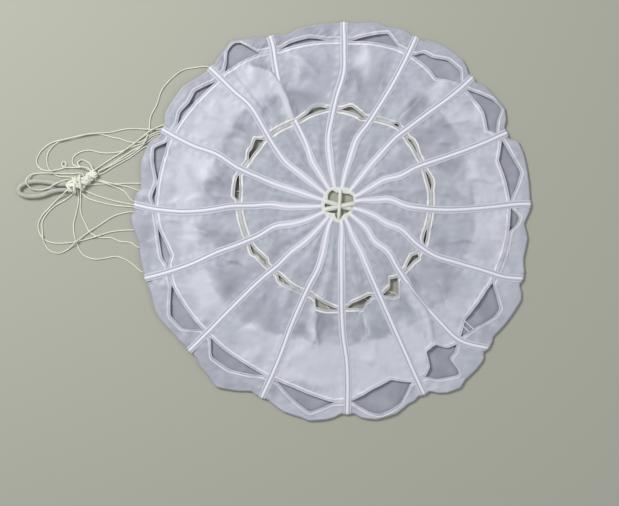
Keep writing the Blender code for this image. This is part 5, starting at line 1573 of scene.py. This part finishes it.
def floor_material(stage):
    """Board with matt emulsion: pale, with the faint mottle that a roller leaves."""
    made, tree, shader = finish("matt_emulsion_board", roughness=0.9, sheen=0.0, specular=0.3)
    spot = add(tree, "TexCoord")
    mottle = add(tree, "TexNoise", {"Vector": (spot, "Object"), "Scale": 900.0})
    bump = add(tree, "Bump", {"Strength": 0.06, "Distance": 0.0002, "Height": (mottle, "Fac")})
    shader.inputs["Base Color"].default_value = stage.floor
    tree.links.new(bump.outputs[0], shader.inputs["Normal"])
    return made


def shared(name, make, *facts):
    """The material of this name, made the first time that it is asked for."""
    return bpy.data.materials.get(name) or make(name, *facts)


# --- operators ---
class PARACHUTE_OT_stage(bpy.types.Operator):
    """Add the floor, the lights and the camera that looks straight down"""
    bl_idname = "parachute.stage"
    bl_label = "Stage"

    def execute(self, context):
        stage = context.scene.parachute_stage
        data = bpy.data.meshes.new("floor")
        corners = [(x * FLOOR_REACH, y * FLOOR_REACH, FLOOR_LEVEL * MM)
                   for x, y in ((-1, -1), (1, -1), (1, 1), (-1, 1))]
        data.from_pydata(corners, [], [(0, 1, 2, 3)])
        data.materials.append(floor_material(stage))
        floor = bpy.data.objects.new("floor", data)
        context.scene.collection.objects.link(floor)
        for name, place, width, power in LIGHTS:
            light = bpy.data.lights.new(name, "AREA")
            light.shape, light.size, light.energy = "DISK", width, power
            lamp = bpy.data.objects.new(name, light)
            lamp.location = place
            lamp.rotation_euler = (-Vector(place)).to_track_quat("-Z", "Y").to_euler()
            context.scene.collection.objects.link(lamp)
        world = bpy.data.worlds.new("studio")
        world.use_nodes = True
        sky = world.node_tree.nodes["Background"]
        sky.inputs["Color"].default_value = linear(SKY)
        sky.inputs["Strength"].default_value = SKY_STRENGTH
        context.scene.world = world
        context.scene.view_settings.view_transform = "Standard"
        lens = bpy.data.cameras.new("camera")
        lens.lens = lens.sensor_width * stage.camera_height / stage.view_width
        camera = bpy.data.objects.new("camera", lens)
        camera.location = (CAMERA_AT[0] * MM, CAMERA_AT[1] * MM, stage.camera_height)
        context.scene.collection.objects.link(camera)
        context.scene.camera = camera
        return {"FINISHED"}


class PARACHUTE_OT_cords(bpy.types.Operator):
    """Add the suspension lines, the slack loops and the riser loop"""
    bl_idname = "parachute.cords"
    bl_label = "Lines and riser loop"

    def execute(self, context):
        cords = context.scene.parachute_cords
        line = shared("twisted_nylon_cord", cord_material, cords.cord, "#CACCBA", 1.0)
        riser = shared("braided_nylon_cord", cord_material, cords.braid, "#9C9F91", 0.5)
        for name, points in cord_ways(cords).items():
            thick, sewn = name == "riser_loop", name.startswith("suspension")
            diameter = (cords.riser if thick else cords.line) / MM
            centre = fine_way(points, RISER_STEP if thick else LINE_STEP)
            if thick:
                cord = braided(centre, diameter, BRAID_PITCH, RISER_SIDES)
                made = piece("riser_braid", name, [cord], riser)
            else:
                cord = twisted(centre, diameter, cords.lay / MM, LINE_SIDES)
                made = piece(name + "_cord", name, [cord], line)
            float(lengths(centre)[-1] * MM)
        return {"FINISHED"}


class PARACHUTE_OT_knot(bpy.types.Operator):
    """Add the knot that gathers the lines and begins the riser loop"""
    bl_idname = "parachute.knot"
    bl_label = "Knot"

    def execute(self, context):
        cords = context.scene.parachute_cords
        piece("knot_tied", "knot", knot_strands(cords),
              bpy.data.materials["twisted_nylon_cord"])
        return {"FINISHED"}


class ClothOperator:
    """What the three operators for cloth share: build one ring, in place of its node of the
    packed model.
    """

    def lay_out(self, context, name, patches, rests_on=()):
        cloth = context.scene.parachute_cloth
        made = piece(name + "_sheer_cloth", name + "_cloth", patches,
                     shared("calendered_nylon_cloth", cloth_material, cloth))
        return {"FINISHED"}


class PARACHUTE_OT_crown(ClothOperator, bpy.types.Operator):
    """Add the crown, the inner ring of cloth"""
    bl_idname = "parachute.crown"
    bl_label = "Crown cloth"

    def execute(self, context):
        return self.lay_out(context, "crown", [crown(context.scene.parachute_cloth)])


class PARACHUTE_OT_ring(ClothOperator, bpy.types.Operator):
    """Add the middle ring of cloth"""
    bl_idname = "parachute.ring"
    bl_label = "Ring cloth"

    def execute(self, context):
        patches = [ring(context.scene.parachute_cloth), *ties()]
        return self.lay_out(context, "ring", patches, ("skirt_sheer_cloth",))


class PARACHUTE_OT_skirt(ClothOperator, bpy.types.Operator):
    """Add the skirt, turned under at the rim"""
    bl_idname = "parachute.skirt"
    bl_label = "Skirt cloth"

    def execute(self, context):
        return self.lay_out(context, "skirt", [skirt(context.scene.parachute_cloth)])


class PARACHUTE_OT_tapes(bpy.types.Operator):
    """Add the sixteen radial tapes"""
    bl_idname = "parachute.tapes"
    bl_label = "Radial tapes"

    def execute(self, context):
        cloth, tapes = context.scene.parachute_cloth, context.scene.parachute_tapes
        shader = shared("woven_nylon_tape", tape_material, tapes.weave, "#D2D3DC", "#C9CBD5",
                        "#B0B2BD")
        for number in range(1, GORES + 1):
            piece(f"tape_{number:02d}", f"radial_tape_{number:02d}",
                  radial_tape(cloth, tapes, number), shader)
        return {"FINISHED"}


class PARACHUTE_OT_vent(bpy.types.Operator):
    """Add the binding round the vent and the three tapes across it"""
    bl_idname = "parachute.vent"
    bl_label = "Vent"

    def execute(self, context):
        tapes = context.scene.parachute_tapes
        shader = shared("cotton_binding_tape", tape_material, tapes.binding, "#D9DBD0",
                        "#D5D7CC", "#B4B6AB")
        piece("vent_edge", "vent_binding", vent_binding(), shader)
        for number in range(1, len(VENT_TAPES) + 1):
            piece(f"vent_cross_{number}", f"vent_tape_{number}",
                  vent_tape(tapes, number), shader)
        return {"FINISHED"}


class PARACHUTE_PT_panel(bpy.types.Panel):
    """Lists the parachute's sizes, colours and pieces"""
    bl_idname = "PARACHUTE_PT_panel"
    bl_label = "Parachute"
    bl_space_type = "VIEW_3D"
    bl_region_type = "UI"
    bl_category = "Parachute"

    def draw(self, context):
        for name, group in GROUPS.items():
            box = self.layout.box()
            box.label(text=group.__doc__)
            for prop in group.__annotations__:
                box.prop(getattr(context.scene, name), prop)
        for operator in OPERATORS:
            self.layout.operator(operator.bl_idname)


GROUPS = {"parachute_stage": ParachuteStage, "parachute_cords": ParachuteCords,
          "parachute_cloth": ParachuteCloth, "parachute_tapes": ParachuteTapes}
OPERATORS = (PARACHUTE_OT_stage, PARACHUTE_OT_cords, PARACHUTE_OT_knot, PARACHUTE_OT_skirt,
             PARACHUTE_OT_ring, PARACHUTE_OT_crown, PARACHUTE_OT_tapes, PARACHUTE_OT_vent)


def register():
    """Registers the settings, the operators and the panel."""
    for cls in (*GROUPS.values(), *OPERATORS, PARACHUTE_PT_panel):
        bpy.utils.register_class(cls)
    for name, group in GROUPS.items():
        setattr(bpy.types.Scene, name, PointerProperty(type=group))


def unregister():
    """Takes them away again."""
    for name in GROUPS:
        delattr(bpy.types.Scene, name)
    for cls in reversed((*GROUPS.values(), *OPERATORS, PARACHUTE_PT_panel)):
        bpy.utils.unregister_class(cls)


def main():
    register()
    for operator in OPERATORS:
        family, name = operator.bl_idname.split(".")
        getattr(getattr(bpy.ops, family), name)()


if __name__ == "__main__":
    main()
